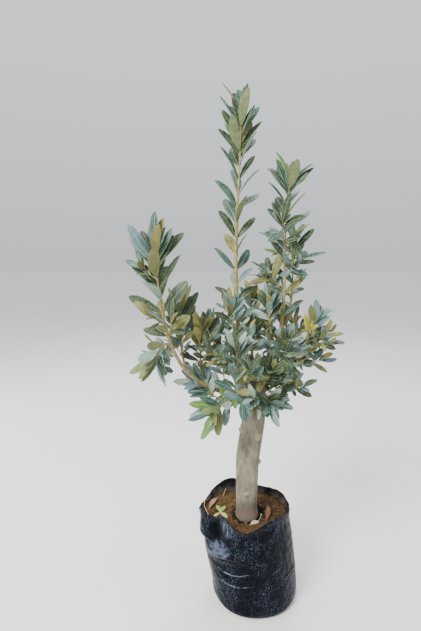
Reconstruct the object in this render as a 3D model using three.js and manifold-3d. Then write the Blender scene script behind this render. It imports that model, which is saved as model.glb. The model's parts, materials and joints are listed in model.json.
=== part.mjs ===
// A young olive tree in a black nursery bag of soil: a thick cut-back trunk carries slender leafy shoots.
// Millimetres, +Z up. The origin is the centre of the bag's flat underside, and the front faces -Y.
import * as THREE from "three";
import { mergeVertices } from "three/addons/utils/BufferGeometryUtils.js";
import Module from "manifold-3d";

const wasm = await Module();
wasm.setup();

const GAP = 0.3; // clearance between touching pieces
const UP = new THREE.Vector3(0, 0, 1);

// Bag: an oval film tube with a flat underside, leaning left towards its open rim
const BAG = {
  sides: 30,
  halfWidth: 73,
  halfDepth: 66,
  wall: 1.5,
  footInset: 8,
  lean: -18.5,
  flare: 3,
  rim: 161,
};
// Where the rim of the free film stands higher or lower
const RIM_WAVES = [
  { at: 30, spread: 18, rise: 5 },
  { at: 105, spread: 22, rise: 13 },
  { at: 155, spread: 14, rise: -8 },
  { at: 205, spread: 13, rise: 14 },
  { at: 240, spread: 12, rise: 17 },
  { at: 268, spread: 12, rise: -5 },
  { at: 308, spread: 27, rise: 10 },
];
// Levels up the bag: 0 is the ground, 1 the soil's surface and 2 the rim of the free film
const BAG_LEVELS = [0, 0.025, 0.08, 0.22, 0.4, 0.56, 0.68, 0.76, 0.84, 0.92, 1, 1.5, 2];
// The pleat in the loose film at the front left and the flap beside it. The flap is
// deepest at its full level and fades by a share of a millimetre for each one above.
const PLEAT = { at: 224, spread: 9, depth: 9, level: 0.86 };
const FLAP = { at: 198, spread: 17, depth: 8, level: 0.79, full: 0.85, fade: 0.11 };
// Where the film stands out: the ledge under the pleat, and the whole left side
const SWELLS = [
  { at: 229, spread: 24, depth: 6, level: 0.72, tall: 0.07 },
  { at: 195, spread: 45, depth: 6.5, level: 0.62, tall: 0.33 },
];

// Soil: fills the bag to its surface, with low lumps away from the trunk's foot
const SOIL = { top: 150, floor: 2, lump: 1.6, rings: [0.3, 0.52, 0.76, 1] };

// Trunk: flat foot on the soil, a bend to the right halfway up, and a rounded, cut-back head
const TRUNK = { sides: 12, seatDepth: 0.5, foot: new THREE.Vector3(-15.5, -8, SOIL.top + GAP) };
const TRUNK_LINE = [
  // rise above the foot, shift to the right, shift to the back, radius
  { rise: 0, right: 0, back: 0, radius: 18.4 },
  { rise: 12, right: -0.3, back: 1, radius: 17.6 },
  { rise: 45, right: -0.8, back: 3, radius: 17.9 },
  { rise: 85, right: 0, back: 6, radius: 18.6 },
  { rise: 115, right: 3, back: 8, radius: 19.2 },
  { rise: 145, right: 7.5, back: 10, radius: 19.4 },
  { rise: 172, right: 10.5, back: 11, radius: 18.6 },
  { rise: 195, right: 12, back: 12, radius: 18 },
  { rise: 210, right: 12.5, back: 12, radius: 18 },
  { rise: 221, right: 12.5, back: 12, radius: 15.5 },
  { rise: 227, right: 12.5, back: 12, radius: 10 },
];
// Healed stubs of removed side shoots: rise above the foot, facing in degrees, size, and how far each
// stands out
const KNOTS = [
  { rise: 44, facing: 266, size: 3.6, proud: 1.6 },
  { rise: 92, facing: 352, size: 4.2, proud: 3.4 },
  { rise: 140, facing: 300, size: 5, proud: 2.2 },
  { rise: 147, facing: 186, size: 6, proud: 2.4 },
  { rise: 118, facing: 80, size: 4.4, proud: 2 },
];

// The head of the trunk, from which every shoot's reach and rise are counted
const HEAD = new THREE.Vector3(-3.5, 4, 372);
const LIMB = { sides: 5, steps: 5, tip: 0.9, base: 1.1, perLength: 0.0085 };
const CURVE_STEPS = 40;

// Leafy shoots. heading: degrees from +X to the tip. reach and rise: the tip from the head. leave and
// arrive: slope at both ends. bow: how long it keeps those slopes. bare: share without leaves, which is
// the bough. pairs: pairs of leaves on the stem. leaf: longest leaf. broad: its width by its length.
// turn: where the first pair points. seat: height on the trunk, or from: the bough it springs from and
// how far along that one's whole curve. twigs: leafy side twigs. open and closer: its own values of
// LEAF.spread and LEAF.closer.
const SHOOTS = [
  { name: "leader", seat: 376, heading: 188, reach: 28, rise: 420, leave: 66, arrive: 90,
    bow: 0.28, bare: 0.25, pairs: 16, leaf: 56, broad: 0.24, turn: 12, twigs: 0,
    open: [52, 18] },
  { name: "right", seat: 372, heading: 355, reach: 49, rise: 322, leave: 56, arrive: 80,
    bow: 0.32, bare: 0.36, pairs: 12, leaf: 51, broad: 0.27, turn: 40, twigs: 4,
    open: [62, 34], closer: 1.8 },
  { name: "left", seat: 356, heading: 208, reach: 172, rise: 212, leave: 12, arrive: 84,
    bow: 0.5, bare: 0.6, pairs: 9, leaf: 62, broad: 0.28, turn: 60, twigs: 0,
    open: [46, 20] },
  { name: "left_back", from: ["left", 0.42], heading: 184, reach: 124, rise: 118, leave: 24, arrive: 84,
    bow: 0.45, bare: 0.3, pairs: 7, leaf: 52, broad: 0.23, turn: 20, twigs: 1, open: [44, 18] },
  { name: "left_low", from: ["left", 0.57], heading: 199, reach: 166, rise: 52, leave: 34, arrive: -78,
    bow: 0.5, bare: 0.18, pairs: 8, leaf: 42, broad: 0.32, turn: 190, twigs: 1, open: [64, 36] },
  { name: "left_inner", from: ["left", 0.26], heading: 194, reach: 96, rise: 90, leave: 30, arrive: 74,
    bow: 0.4, bare: 0.3, pairs: 7, leaf: 42, broad: 0.24, turn: 30, twigs: 2 },
  { name: "left_under", seat: 343, heading: 200, reach: 100, rise: 16, leave: -2, arrive: 14,
    bow: 0.4, bare: 0.32, pairs: 7, leaf: 38, broad: 0.3, turn: 50, twigs: 2 },
  { name: "front_left", seat: 346, heading: 224, reach: 97, rise: -20, leave: 8, arrive: -34,
    bow: 0.4, bare: 0.4, pairs: 6, leaf: 44, broad: 0.28, turn: 15, twigs: 2 },
  { name: "front_mid", seat: 362, heading: 246, reach: 62, rise: -4, leave: 18, arrive: -14,
    bow: 0.4, bare: 0.36, pairs: 6, leaf: 38, broad: 0.3, turn: 35, twigs: 2 },
  { name: "front_high", seat: 370, heading: 240, reach: 74, rise: 76, leave: 35, arrive: 66,
    bow: 0.4, bare: 0.36, pairs: 7, leaf: 36, broad: 0.28, turn: 10, twigs: 2 },
  { name: "front_centre", seat: 364, heading: 284, reach: 70, rise: 44, leave: 24, arrive: 36,
    bow: 0.4, bare: 0.36, pairs: 7, leaf: 36, broad: 0.3, turn: 25, twigs: 2 },
  { name: "front_right", seat: 374, heading: 312, reach: 68, rise: 80, leave: 40, arrive: 62,
    bow: 0.4, bare: 0.36, pairs: 7, leaf: 38, broad: 0.28, turn: 55, twigs: 2 },
  { name: "front_low", seat: 348, heading: 284, reach: 64, rise: -8, leave: 12, arrive: -20,
    bow: 0.4, bare: 0.36, pairs: 6, leaf: 38, broad: 0.28, turn: 5, twigs: 2 },
  { name: "right_low", seat: 362, heading: 350, reach: 94, rise: 110, leave: 22, arrive: 66,
    bow: 0.45, bare: 0.5, pairs: 7, leaf: 40, broad: 0.28, turn: 20, twigs: 2 },
  { name: "right_inner", from: ["right_low", 0.36], heading: 1, reach: 78, rise: 82, leave: 30,
    arrive: 64, bow: 0.4, bare: 0.25, pairs: 6, leaf: 38, broad: 0.26, turn: 70, twigs: 2 },
  { name: "right_under", seat: 350, heading: 334, reach: 54, rise: 12, leave: 14, arrive: 22,
    bow: 0.4, bare: 0.36, pairs: 6, leaf: 33, broad: 0.32, turn: 30, twigs: 2 },
  { name: "right_side", from: ["right", 0.2], heading: 302, reach: 29, rise: 140, leave: 54, arrive: 84,
    bow: 0.35, bare: 0.3, pairs: 6, leaf: 34, broad: 0.28, turn: 45, twigs: 1 },
  { name: "right_back", from: ["right", 0.26], heading: 8, reach: 60, rise: 236, leave: 54, arrive: 86,
    bow: 0.35, bare: 0.3, pairs: 8, leaf: 38, broad: 0.28, turn: 15, twigs: 1 },
  { name: "leader_side", from: ["leader", 0.14], heading: 204, reach: 46, rise: 134, leave: 54,
    arrive: 84, bow: 0.35, bare: 0.3, pairs: 6, leaf: 34, broad: 0.27, turn: 30, twigs: 1 },
  { name: "back_left", seat: 364, heading: 146, reach: 90, rise: 92, leave: 20, arrive: 68,
    bow: 0.45, bare: 0.4, pairs: 7, leaf: 40, broad: 0.27, turn: 10, twigs: 2 },
  { name: "back_left_low", from: ["back_left", 0.3], heading: 128, reach: 84, rise: 26, leave: 5,
    arrive: 15, bow: 0.4, bare: 0.25, pairs: 6, leaf: 38, broad: 0.28, turn: 40, twigs: 2 },
  { name: "back_right", seat: 358, heading: 44, reach: 84, rise: 104, leave: 22, arrive: 70,
    bow: 0.45, bare: 0.4, pairs: 7, leaf: 40, broad: 0.27, turn: 30, twigs: 2 },
  { name: "back_right_low", from: ["back_right", 0.3], heading: 26, reach: 94, rise: 36, leave: 5,
    arrive: 30, bow: 0.4, bare: 0.25, pairs: 6, leaf: 38, broad: 0.28, turn: 0, twigs: 2 },
  { name: "back_centre", seat: 374, heading: 92, reach: 62, rise: 138, leave: 42, arrive: 82,
    bow: 0.4, bare: 0.36, pairs: 8, leaf: 40, broad: 0.26, turn: 45, twigs: 2 },
  { name: "back_low", seat: 348, heading: 84, reach: 72, rise: 4, leave: 10, arrive: -8,
    bow: 0.4, bare: 0.36, pairs: 6, leaf: 38, broad: 0.28, turn: 20, twigs: 2 },
  { name: "inner", from: ["back_centre", 0.2], heading: 100, reach: 24, rise: 100, leave: 66,
    arrive: 84, bow: 0.35, bare: 0.3, pairs: 6, leaf: 36, broad: 0.27, turn: 60, twigs: 1 },
];

// How leaves sit on a stem. spread: their angle to it at its first pair and its last. closer: how they
// crowd towards its tip. small: size of the first pair. lean: the most that upper faces turn to the light.
// roll: their twist. stray: how far they stray in spread and round the stem. keel: depth below the upper face. low and high: where a blade is widest, and its
// share of the width. breadth: how broad leaves are, from first pair to last. clearFrom: share of a
// leaf near its root that may touch.
const LEAF = {
  spread: [60, 22],
  closer: 1.3,
  small: 0.72,
  bend: [14, 30],
  roll: 26,
  stray: { spread: 12, round: 20 },
  light: new THREE.Vector3(-0.15, -0.8, 0.45),
  lean: 60,
  keel: 0.5,
  low: { along: 0.34, half: 0.95 },
  high: { along: 0.72, half: 0.82 },
  breadth: [1.35, 0.95],
  tries: 7,
  clearFrom: { others: 0.05, own: 0.17 },
};
const TWIG = { angle: 48, length: 42, pairs: 3, leaf: 0.82, radius: 1.0, turn: 137.5 };
// Bits lying on the soil: where each one's root is, and the ways its blades point
const FALLEN = [
  { name: "fallen_leaf_rim", x: -80.5, y: 3, arms: [64], length: 38, broad: 0.21 },
  { name: "fallen_leaf_foot", x: -12, y: -39, arms: [24], length: 19, broad: 0.48 },
  { name: "fallen_leaf_right", x: 13.5, y: -31, arms: [78], length: 45, broad: 0.2 },
  { name: "fallen_sprig", x: -61, y: -6.5, arms: [304, 234, 64, 107], length: 24, broad: 0.3 },
];
const LYING = { lift: 0.4, slope: 20, bend: 30, back: 3, thick: 0.9 };
// Room kept clear round a leaf's blade and round a limb
const ROOM = { side: 0.9, face: 1.3, limb: 1.2 };

const deg = THREE.MathUtils.degToRad;
const lerp = THREE.MathUtils.lerp;

// A seeded stream of numbers from 0 to 1
function seeded(seed) {
  let state = (Math.imul(seed + 1, 2654435761) ^ 40503) >>> 0;
  const next = () => {
    state = (Math.imul(state, 1664525) + 1013904223) >>> 0;
    return state / 4294967296;
  };
  next();
  next();
  return next;
}

// Closed skin over rings of points, from the first to the last. A ring of one point closes to that point.
function loft(rings) {
  const points = rings.flat();
  const starts = [];
  rings.reduce((sum, ring) => {
    starts.push(sum);
    return sum + ring.length;
  }, 0);
  const faces = [];
  for (let i = 0; i + 1 < rings.length; i++) {
    const [a, b] = [rings[i].length, rings[i + 1].length];
    const n = Math.max(a, b);
    for (let k = 0; k < n; k++) {
      const low = starts[i] + (a > 1 ? k : 0);
      const lowNext = starts[i] + (a > 1 ? (k + 1) % n : 0);
      const high = starts[i + 1] + (b > 1 ? k : 0);
      const highNext = starts[i + 1] + (b > 1 ? (k + 1) % n : 0);
      const rising = points[low].distanceTo(points[highNext]) <= points[lowNext].distanceTo(points[high]);
      if (a === 1) faces.push(low, highNext, high);
      else if (b === 1) faces.push(low, lowNext, high);
      else if (rising) faces.push(low, lowNext, highNext, low, highNext, high);
      else faces.push(low, lowNext, high, lowNext, highNext, high);
    }
  }
  const cap = (start, n, last) => {
    for (let k = 1; k + 1 < n; k++)
      faces.push(start, start + (last ? k : k + 1), start + (last ? k + 1 : k));
  };
  cap(starts[0], rings[0].length, false);
  cap(starts.at(-1), rings.at(-1).length, true);
  const geometry = new THREE.BufferGeometry().setFromPoints(points);
  geometry.setIndex(faces);
  return geometry;
}

function solidOf(geometry) {
  const bare = geometry.clone();
  bare.deleteAttribute("normal");
  bare.deleteAttribute("uv");
  const merged = mergeVertices(bare, 1e-4);
  return new wasm.Manifold(
    new wasm.Mesh({
      numProp: 3,
      vertProperties: new Float32Array(merged.attributes.position.array),
      triVerts: new Uint32Array(merged.index.array),
    }),
  );
}

function geometryOf(solid) {
  const mesh = solid.getMesh();
  const positions = new Float32Array(mesh.numVert * 3);
  for (let i = 0; i < mesh.numVert; i++)
    positions.set(mesh.vertProperties.subarray(i * mesh.numProp, i * mesh.numProp + 3), i * 3);
  const geometry = new THREE.BufferGeometry();
  geometry.setAttribute("position", new THREE.BufferAttribute(positions, 3));
  geometry.setIndex(new THREE.BufferAttribute(mesh.triVerts, 1));
  return geometry;
}

const joined = (solids) => solids.reduce((sum, solid) => sum.add(solid));

const largest = (solid) =>
  solid.decompose().reduce((best, body) => (body.volume() > best.volume() ? body : best));

// Bag and soil

const bell = (x, spread) => Math.exp(-((x / spread) ** 2));
const apart = (a, b) => ((a - b + 540) % 360) - 180;

const rimHeight = (angle) =>
  RIM_WAVES.reduce(
    (height, wave) => height + wave.rise * bell(apart(angle, wave.at), wave.spread),
    BAG.rim,
  );

// How far a fold stands out at an angle and a level, from its own level up
const foldDepth = (fold, angle, level) =>
  fold.depth *
  bell(apart(angle, fold.at), fold.spread) *
  THREE.MathUtils.smoothstep(level, fold.level - 0.06, fold.level + 0.1);

const flapDepth = (angle, level, height) =>
  (FLAP.depth - FLAP.fade * Math.max(0, height - FLAP.full * SOIL.top)) *
  bell(apart(angle, FLAP.at), FLAP.spread) *
  THREE.MathUtils.smoothstep(level, FLAP.level, FLAP.full);

// The bag's surface at an angle and a level, moved in by inset
function bagPoint(angle, level, inset = 0) {
  const height = level > 1 ? lerp(SOIL.top, rimHeight(angle), level - 1) : level * SOIL.top;
  const low = Math.min(level / 0.08, 1);
  const foot = BAG.footInset * (1 - Math.sqrt(1 - (1 - low) ** 2));
  const slack = 1 + 0.012 * Math.sin(deg(3 * angle + 40)) + 0.01 * Math.sin(deg(5 * angle + 1.2 * height));
  const folds = flapDepth(angle, level, height) - foldDepth(PLEAT, angle, level);
  const swelling = SWELLS.reduce(
    (sum, swell) =>
      sum + swell.depth * bell(apart(angle, swell.at), swell.spread) * bell(level - swell.level, swell.tall),
    0,
  );
  const flare = BAG.flare * Math.max(0, level - 1);
  const grow = flare + swelling + folds - foot - inset;
  return new THREE.Vector3(
    BAG.lean * (height / BAG.rim) ** 1.4 + (BAG.halfWidth * slack + grow) * Math.cos(deg(angle)),
    (BAG.halfDepth * slack + grow) * Math.sin(deg(angle)),
    height,
  );
}

const around = (sides, make) => Array.from({ length: sides }, (_, k) => make((360 * k) / sides));

function bagGeometry() {
  const outer = BAG_LEVELS.map((level) => around(BAG.sides, (angle) => bagPoint(angle, level)));
  const inner = BAG_LEVELS.slice(2)
    .reverse()
    .map((level) => around(BAG.sides, (angle) => bagPoint(angle, level, BAG.wall)));
  const floor = around(BAG.sides, (angle) => bagPoint(angle, 0.08, BAG.wall + 4).setZ(SOIL.floor - GAP));
  return loft([...outer, ...inner, floor]);
}

const lumps = (x, y) =>
  SOIL.lump * (Math.sin(x * 0.13 + 1.1) * Math.cos(y * 0.11) + 0.5 * Math.sin(x * 0.31 - y * 0.23));

// The soil's surface, level round the trunk's foot and at the bag
const soilHeight = (x, y, share) =>
  SOIL.top + THREE.MathUtils.smoothstep(share, 0.35, 0.7) * (share < 1 ? lumps(x, y) : 0);

function soilGeometry() {
  const inset = BAG.wall + GAP;
  const sides = BAG_LEVELS.slice(2).filter((level) => level < 1);
  const wall = sides.map((level) => around(BAG.sides, (angle) => bagPoint(angle, level, inset)));
  const floor = around(BAG.sides, (angle) => bagPoint(angle, 0.08, inset + 4).setZ(SOIL.floor));
  const top = SOIL.rings.toReversed().map((share) =>
    around(BAG.sides, (angle) => {
      const edge = bagPoint(angle, 1, inset);
      const point = new THREE.Vector3(TRUNK.foot.x, TRUNK.foot.y, SOIL.top).lerp(edge, share);
      return point.setZ(soilHeight(point.x, point.y, share));
    }),
  );
  return loft([floor, ...wall, ...top]);
}

// Trunk

const trunkPoint = (row) =>
  TRUNK.foot.clone().add(new THREE.Vector3(row.right, row.back, row.rise));

function trunkAt(rise) {
  const k = Math.max(1, TRUNK_LINE.findIndex((row) => row.rise >= rise));
  const [low, high] = [TRUNK_LINE[k - 1], TRUNK_LINE[k]];
  const share = (rise - low.rise) / (high.rise - low.rise);
  return {
    centre: trunkPoint(low).lerp(trunkPoint(high), share),
    radius: lerp(low.radius, high.radius, share),
  };
}

function trunkSolid(room) {
  const rings = TRUNK_LINE.map((row) => {
    const centre = trunkPoint(row);
    return around(TRUNK.sides, (angle) => {
      const uneven = 1 + 0.03 * Math.sin(deg(2 * angle + row.rise)) + 0.015 * Math.sin(deg(5 * angle));
      return centre.clone().addScaledVector(bearing(angle, 0), row.radius * uneven + room);
    });
  });
  const top = trunkPoint(TRUNK_LINE.at(-1)).add(new THREE.Vector3(0, 0, 2 + room));
  const knots = KNOTS.map((knot) => {
    const { centre, radius } = trunkAt(knot.rise);
    const out = radius + knot.proud - knot.size + room;
    const ball = new THREE.SphereGeometry(knot.size, 7, 4);
    ball.scale(1, 0.9, 1.25);
    ball.rotateZ(deg(knot.facing));
    ball.translate(
      centre.x + out * Math.cos(deg(knot.facing)),
      centre.y + out * Math.sin(deg(knot.facing)),
      centre.z,
    );
    return solidOf(ball);
  });
  return joined([solidOf(loft([...rings, [top]])), ...knots]);
}

// Shoots

const bearing = (heading, slope) =>
  new THREE.Vector3(
    Math.cos(deg(heading)) * Math.cos(deg(slope)),
    Math.sin(deg(heading)) * Math.cos(deg(slope)),
    Math.sin(deg(slope)),
  );

// A limb's centre line in the upright plane through its root and tip, read by distance along it
function limbLine(root, tip, leave, arrive, bow) {
  const heading = THREE.MathUtils.radToDeg(Math.atan2(tip.y - root.y, tip.x - root.x));
  const handle = bow * root.distanceTo(tip);
  const curve = new THREE.CubicBezierCurve3(
    root,
    root.clone().addScaledVector(bearing(heading, leave), handle),
    tip.clone().addScaledVector(bearing(heading, arrive), -handle),
    tip,
  );
  const points = Array.from({ length: CURVE_STEPS + 1 }, (_, k) => curve.getPoint(k / CURVE_STEPS));
  const travelled = points.map(() => 0);
  for (let k = 1; k <= CURVE_STEPS; k++)
    travelled[k] = travelled[k - 1] + points[k].distanceTo(points[k - 1]);
  const span = (distance) => {
    const k = travelled.findIndex((d) => d > distance);
    return k < 0 ? CURVE_STEPS : Math.max(1, k);
  };
  const at = (distance) => {
    const k = span(distance);
    const share = (distance - travelled[k - 1]) / (travelled[k] - travelled[k - 1]);
    return points[k - 1].clone().lerp(points[k], share);
  };
  const length = travelled[CURVE_STEPS];
  const along = (distance) => {
    const low = Math.max(0, distance - 2);
    const high = Math.min(length, distance + 2);
    return at(high).sub(at(low)).normalize();
  };
  const side = new THREE.Vector3(-Math.sin(deg(heading)), Math.cos(deg(heading)), 0);
  return { heading, side, length, at, along };
}

// The direction square to a limb, at an angle round it
function outward(line, distance, angle) {
  const along = line.along(distance);
  const other = new THREE.Vector3().crossVectors(along, line.side);
  return other.multiplyScalar(Math.sin(deg(angle))).addScaledVector(line.side, Math.cos(deg(angle)));
}

// A tapering limb from one distance to another, with flat ends
function limbGeometry(line, from, to, radiusAt, sides, steps) {
  const rings = Array.from({ length: steps + 1 }, (_, k) => {
    const distance = lerp(from, to, k / steps);
    const radius = radiusAt(distance);
    return around(sides, (angle) =>
      line.at(distance).addScaledVector(outward(line, distance, angle), radius),
    );
  });
  return loft(rings);
}

// The leaf's centre line bends away from its upper face
function leafPoint(leaf, along) {
  const turned = leaf.bend * along;
  const chord = leaf.bend > 1e-6 ? leaf.length / leaf.bend : leaf.length;
  return leaf.root
    .clone()
    .addScaledVector(leaf.way, chord * Math.sin(turned))
    .addScaledVector(leaf.face, -chord * (1 - Math.cos(turned)));
}

function leafFace(leaf, along) {
  const turned = leaf.bend * along;
  return leaf.face.clone().multiplyScalar(Math.cos(turned)).addScaledVector(leaf.way, Math.sin(turned));
}

// A blade between its root and its tip: two widths across its upper face, and a keel below them
function bladeGeometry(leaf, root, tip, room) {
  const across = ({ along, half }, side) =>
    leafPoint(leaf, along)
      .addScaledVector(leaf.side, side * ((half * leaf.width) / 2 + room.side))
      .addScaledVector(leafFace(leaf, along), room.face);
  const points = [
    leafPoint(leaf, root),
    across(LEAF.low, 1),
    across(LEAF.high, 1),
    leafPoint(leaf, tip),
    across(LEAF.high, -1),
    across(LEAF.low, -1),
  ];
  const geometry = new THREE.BufferGeometry().setFromPoints(points);
  geometry.setIndex([0, 1, 5, 1, 4, 5, 1, 2, 4, 2, 3, 4, 3, 2, 1, 3, 1, 0, 3, 0, 5, 3, 5, 4]);
  return geometry;
}

const leafSolid = (leaf) => solidOf(bladeGeometry(leaf, 0, 1, { side: 0, face: LEAF.keel }));

// The space a leaf needs beyond a share of its length
const leafRoom = (leaf, start) => boxed(solidOf(bladeGeometry(leaf, start, 1.03, ROOM)));

// One try at a leaf: where it points and how it is turned vary a little round the rule
function leafTry(stem, place, share, angle, size, random, attempt) {
  const { line } = stem;
  const loose = 1 + 0.55 * attempt;
  const vary = () => (2 * random() - 1) * loose;
  const spread = deg(lerp(...(stem.open ?? LEAF.spread), share) + LEAF.stray.spread * vary());
  const along = line.along(place);
  const out = outward(line, place, angle + LEAF.stray.round * vary());
  const roll = deg(LEAF.roll * (2 * random() - 1));
  const bend = deg(lerp(...LEAF.bend, random()));
  const length = size * (1 + 0.1 * vary() / loose);
  const way = along.clone().multiplyScalar(Math.cos(spread)).addScaledVector(out, Math.sin(spread));
  const face = along.clone().multiplyScalar(Math.sin(spread)).addScaledVector(out, -Math.cos(spread));
  const lit = LEAF.light.clone().addScaledVector(way, -way.dot(LEAF.light)).normalize();
  const turn = deg(LEAF.lean) * way.dot(face.clone().cross(lit));
  face.applyAxisAngle(way, turn + roll);
  return {
    root: line.at(place),
    way,
    face,
    side: new THREE.Vector3().crossVectors(way, face),
    length,
    width: length * stem.broad * lerp(...LEAF.breadth, share),
    bend,
  };
}

const boxed = (solid) => ({ solid, box: solid.boundingBox() });

const boxesMeet = (a, b) =>
  [0, 1, 2].every((k) => a.min[k] <= b.max[k] && b.min[k] <= a.max[k]);

const meets = (a, b) => boxesMeet(a.box, b.box) && !a.solid.intersect(b.solid).isEmpty();

// A leaf or twig keeps clear of other shoots from its root up, and of its own shoot's past its root
function clashes(stem, whole, blade, taken) {
  return taken.some((other) => {
    if (other.owner !== stem.owner) return meets(whole, other.whole);
    return other.stem !== stem.stem && meets(blade, other.blade);
  });
}

// Leaves in opposite pairs up a stem, each at right angles to the pair below
function growLeaves(stem, limbs, blades) {
  const leaves = [];
  for (let pair = 0; pair < stem.pairs; pair++) {
    const share = pair / (stem.pairs - 1);
    const place = lerp(stem.from, stem.line.length - 1, 1 - (1 - share) ** (stem.closer ?? LEAF.closer));
    const size = stem.leaf * lerp(LEAF.small, 1, Math.sin((Math.PI / 2) * Math.min(1, share / 0.55)));
    for (const half of [0, 1]) {
      const random = seeded(stem.seed * 100 + pair * 2 + half);
      const angle = stem.turn + 90 * pair + 180 * half;
      for (let attempt = 0; attempt < LEAF.tries; attempt++) {
        const leaf = leafTry(stem, place, share, angle, size, random, attempt);
        const whole = leafRoom(leaf, LEAF.clearFrom.others);
        const blade = leafRoom(leaf, LEAF.clearFrom.own);
        if (clashes(stem, whole, blade, limbs) || clashes(stem, whole, blade, blades)) continue;
        blades.push({ owner: stem.owner, whole, blade });
        leaves.push(leaf);
        break;
      }
    }
  }
  return leaves;
}

// A shoot springs from inside the trunk, on the side that it leaves by
function seatOnTrunk({ seat, heading }) {
  const { centre, radius } = trunkAt(seat - TRUNK.foot.z);
  return centre.addScaledVector(bearing(heading, 0), TRUNK.seatDepth * radius);
}

const shootByName = new Map();

function layOutShoots() {
  SHOOTS.forEach((spec, index) => {
    const tip = HEAD.clone().addScaledVector(UP, spec.rise);
    tip.addScaledVector(bearing(spec.heading, 0), spec.reach);
    const parent = spec.from && shootByName.get(spec.from[0]);
    const root = parent ? parent.line.at(spec.from[1] * parent.line.length) : seatOnTrunk(spec);
    const line = limbLine(root, tip, spec.leave, spec.arrive, spec.bow);
    const base = LIMB.base + LIMB.perLength * line.length;
    const radiusAt = (distance) => lerp(base, LIMB.tip, distance / line.length);
    shootByName.set(spec.name, { ...spec, index, line, radiusAt, parent, meet: spec.bare * line.length });
  });
}

// Side twigs leave a stem's lower half and turn upwards
function twigsOf(shoot) {
  return Array.from({ length: shoot.twigs }, (_, k) => {
    const random = seeded(7000 + shoot.index * 10 + k);
    const leafy = shoot.line.length - shoot.meet;
    const place = shoot.meet + leafy * (0.1 + (0.45 * (k + random())) / shoot.twigs);
    const root = shoot.line.at(place);
    const out = outward(shoot.line, place, shoot.turn + 45 + TWIG.turn * k + 30 * (2 * random() - 1));
    const way = shoot.line.along(place).multiplyScalar(Math.cos(deg(TWIG.angle)));
    way.addScaledVector(out, Math.sin(deg(TWIG.angle))).normalize();
    const length = TWIG.length * (0.8 + 0.5 * random());
    const tip = root.clone().addScaledVector(way, length).addScaledVector(UP, 0.18 * length);
    const slope = THREE.MathUtils.radToDeg(Math.asin(way.z));
    const line = limbLine(root, tip, slope, Math.min(88, slope + 22), 0.35);
    return {
      owner: shoot.name,
      stem: k + 1,
      line,
      from: 0.35 * line.length,
      pairs: TWIG.pairs + (random() > 0.5 ? 1 : 0),
      leaf: shoot.leaf * TWIG.leaf,
      broad: shoot.broad,
      open: shoot.open,
      turn: 360 * random(),
      seed: 40 + shoot.index * 4 + k,
    };
  });
}

function limbRoom(line, from, to, radiusAt, room) {
  const wider = (distance) => radiusAt(distance) + room;
  return boxed(solidOf(limbGeometry(line, from, to, wider, LIMB.sides, LIMB.steps)));
}

const plain = (color, roughness) => new THREE.MeshStandardMaterial({ color, roughness, metalness: 0 });
const FILM = plain(0x14171c, 0.35);
const EARTH = plain(0x7c5230, 0.95);
const BARK = plain(0xa39a80, 0.8);
const SHOOT_BARK = plain(0x9a8f68, 0.75);
const FOLIAGE = plain(0x6f8068, 0.6);
const DRY = plain(0x9c7f6a, 0.85);
const SPRIG = plain(0xa9b56a, 0.7);

const plant = new THREE.Group();
plant.name = "potted_olive_tree";

function addNode(name, geometry, material) {
  const mesh = new THREE.Mesh(geometry, material);
  mesh.name = name;
  plant.add(mesh);
}

function buildShoots(trunkRoom) {
  layOutShoots();
  const shoots = [...shootByName.values()];
  const trimmed = new Map();
  const limbs = [{ owner: "trunk", whole: trunkRoom }];
  for (const shoot of shoots) {
    const { line, radiusAt, meet } = shoot;
    const round = solidOf(limbGeometry(line, 0, meet, radiusAt, LIMB.sides, LIMB.steps));
    const holder = shoot.parent
      ? limbRoom(shoot.parent.line, 0, shoot.parent.meet, shoot.parent.radiusAt, GAP).solid
      : trunkSolid(GAP);
    trimmed.set(shoot.name, largest(round.subtract(holder)));
    limbs.push({ owner: shoot.name + "_bough", whole: limbRoom(line, 0, meet, radiusAt, ROOM.limb) });
    const stem = limbRoom(line, meet, line.length, radiusAt, ROOM.limb);
    limbs.push({ owner: shoot.name, stem: 0, whole: stem, blade: stem });
  }
  const twigs = new Map();
  for (const shoot of shoots) {
    const kept = twigsOf(shoot).filter((twig) => {
      const { line, owner, stem } = twig;
      const whole = limbRoom(line, 0.05 * line.length, line.length, () => TWIG.radius, ROOM.limb);
      const blade = limbRoom(line, 0.3 * line.length, line.length, () => TWIG.radius, ROOM.limb);
      if (clashes(twig, whole, blade, limbs)) return false;
      limbs.push({ owner, stem, whole, blade });
      return true;
    });
    twigs.set(shoot.name, kept);
  }
  const blades = [];
  for (const shoot of shoots) {
    const { line, radiusAt, meet } = shoot;
    const main = { ...shoot, owner: shoot.name, stem: 0, from: meet + 7, seed: shoot.index };
    const stems = [main, ...twigs.get(shoot.name)];
    const stemRadius = (distance) => 1.25 * radiusAt(distance);
    const steps = Math.max(4, Math.round((line.length - meet) / 24));
    const wood = [solidOf(limbGeometry(line, meet + GAP, line.length, stemRadius, 3, steps))];
    for (const twig of twigs.get(shoot.name))
      wood.push(solidOf(limbGeometry(twig.line, 0, twig.line.length, () => TWIG.radius, 3, 2)));
    const leaves = stems.flatMap((stem) => growLeaves(stem, limbs, blades));
    const mass = largest(joined([...wood, ...leaves.map(leafSolid)]));
    addNode("bough_" + shoot.name, geometryOf(trimmed.get(shoot.name)), SHOOT_BARK);
    addNode("foliage_" + shoot.name, geometryOf(mass), FOLIAGE);
  }
}

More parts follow.
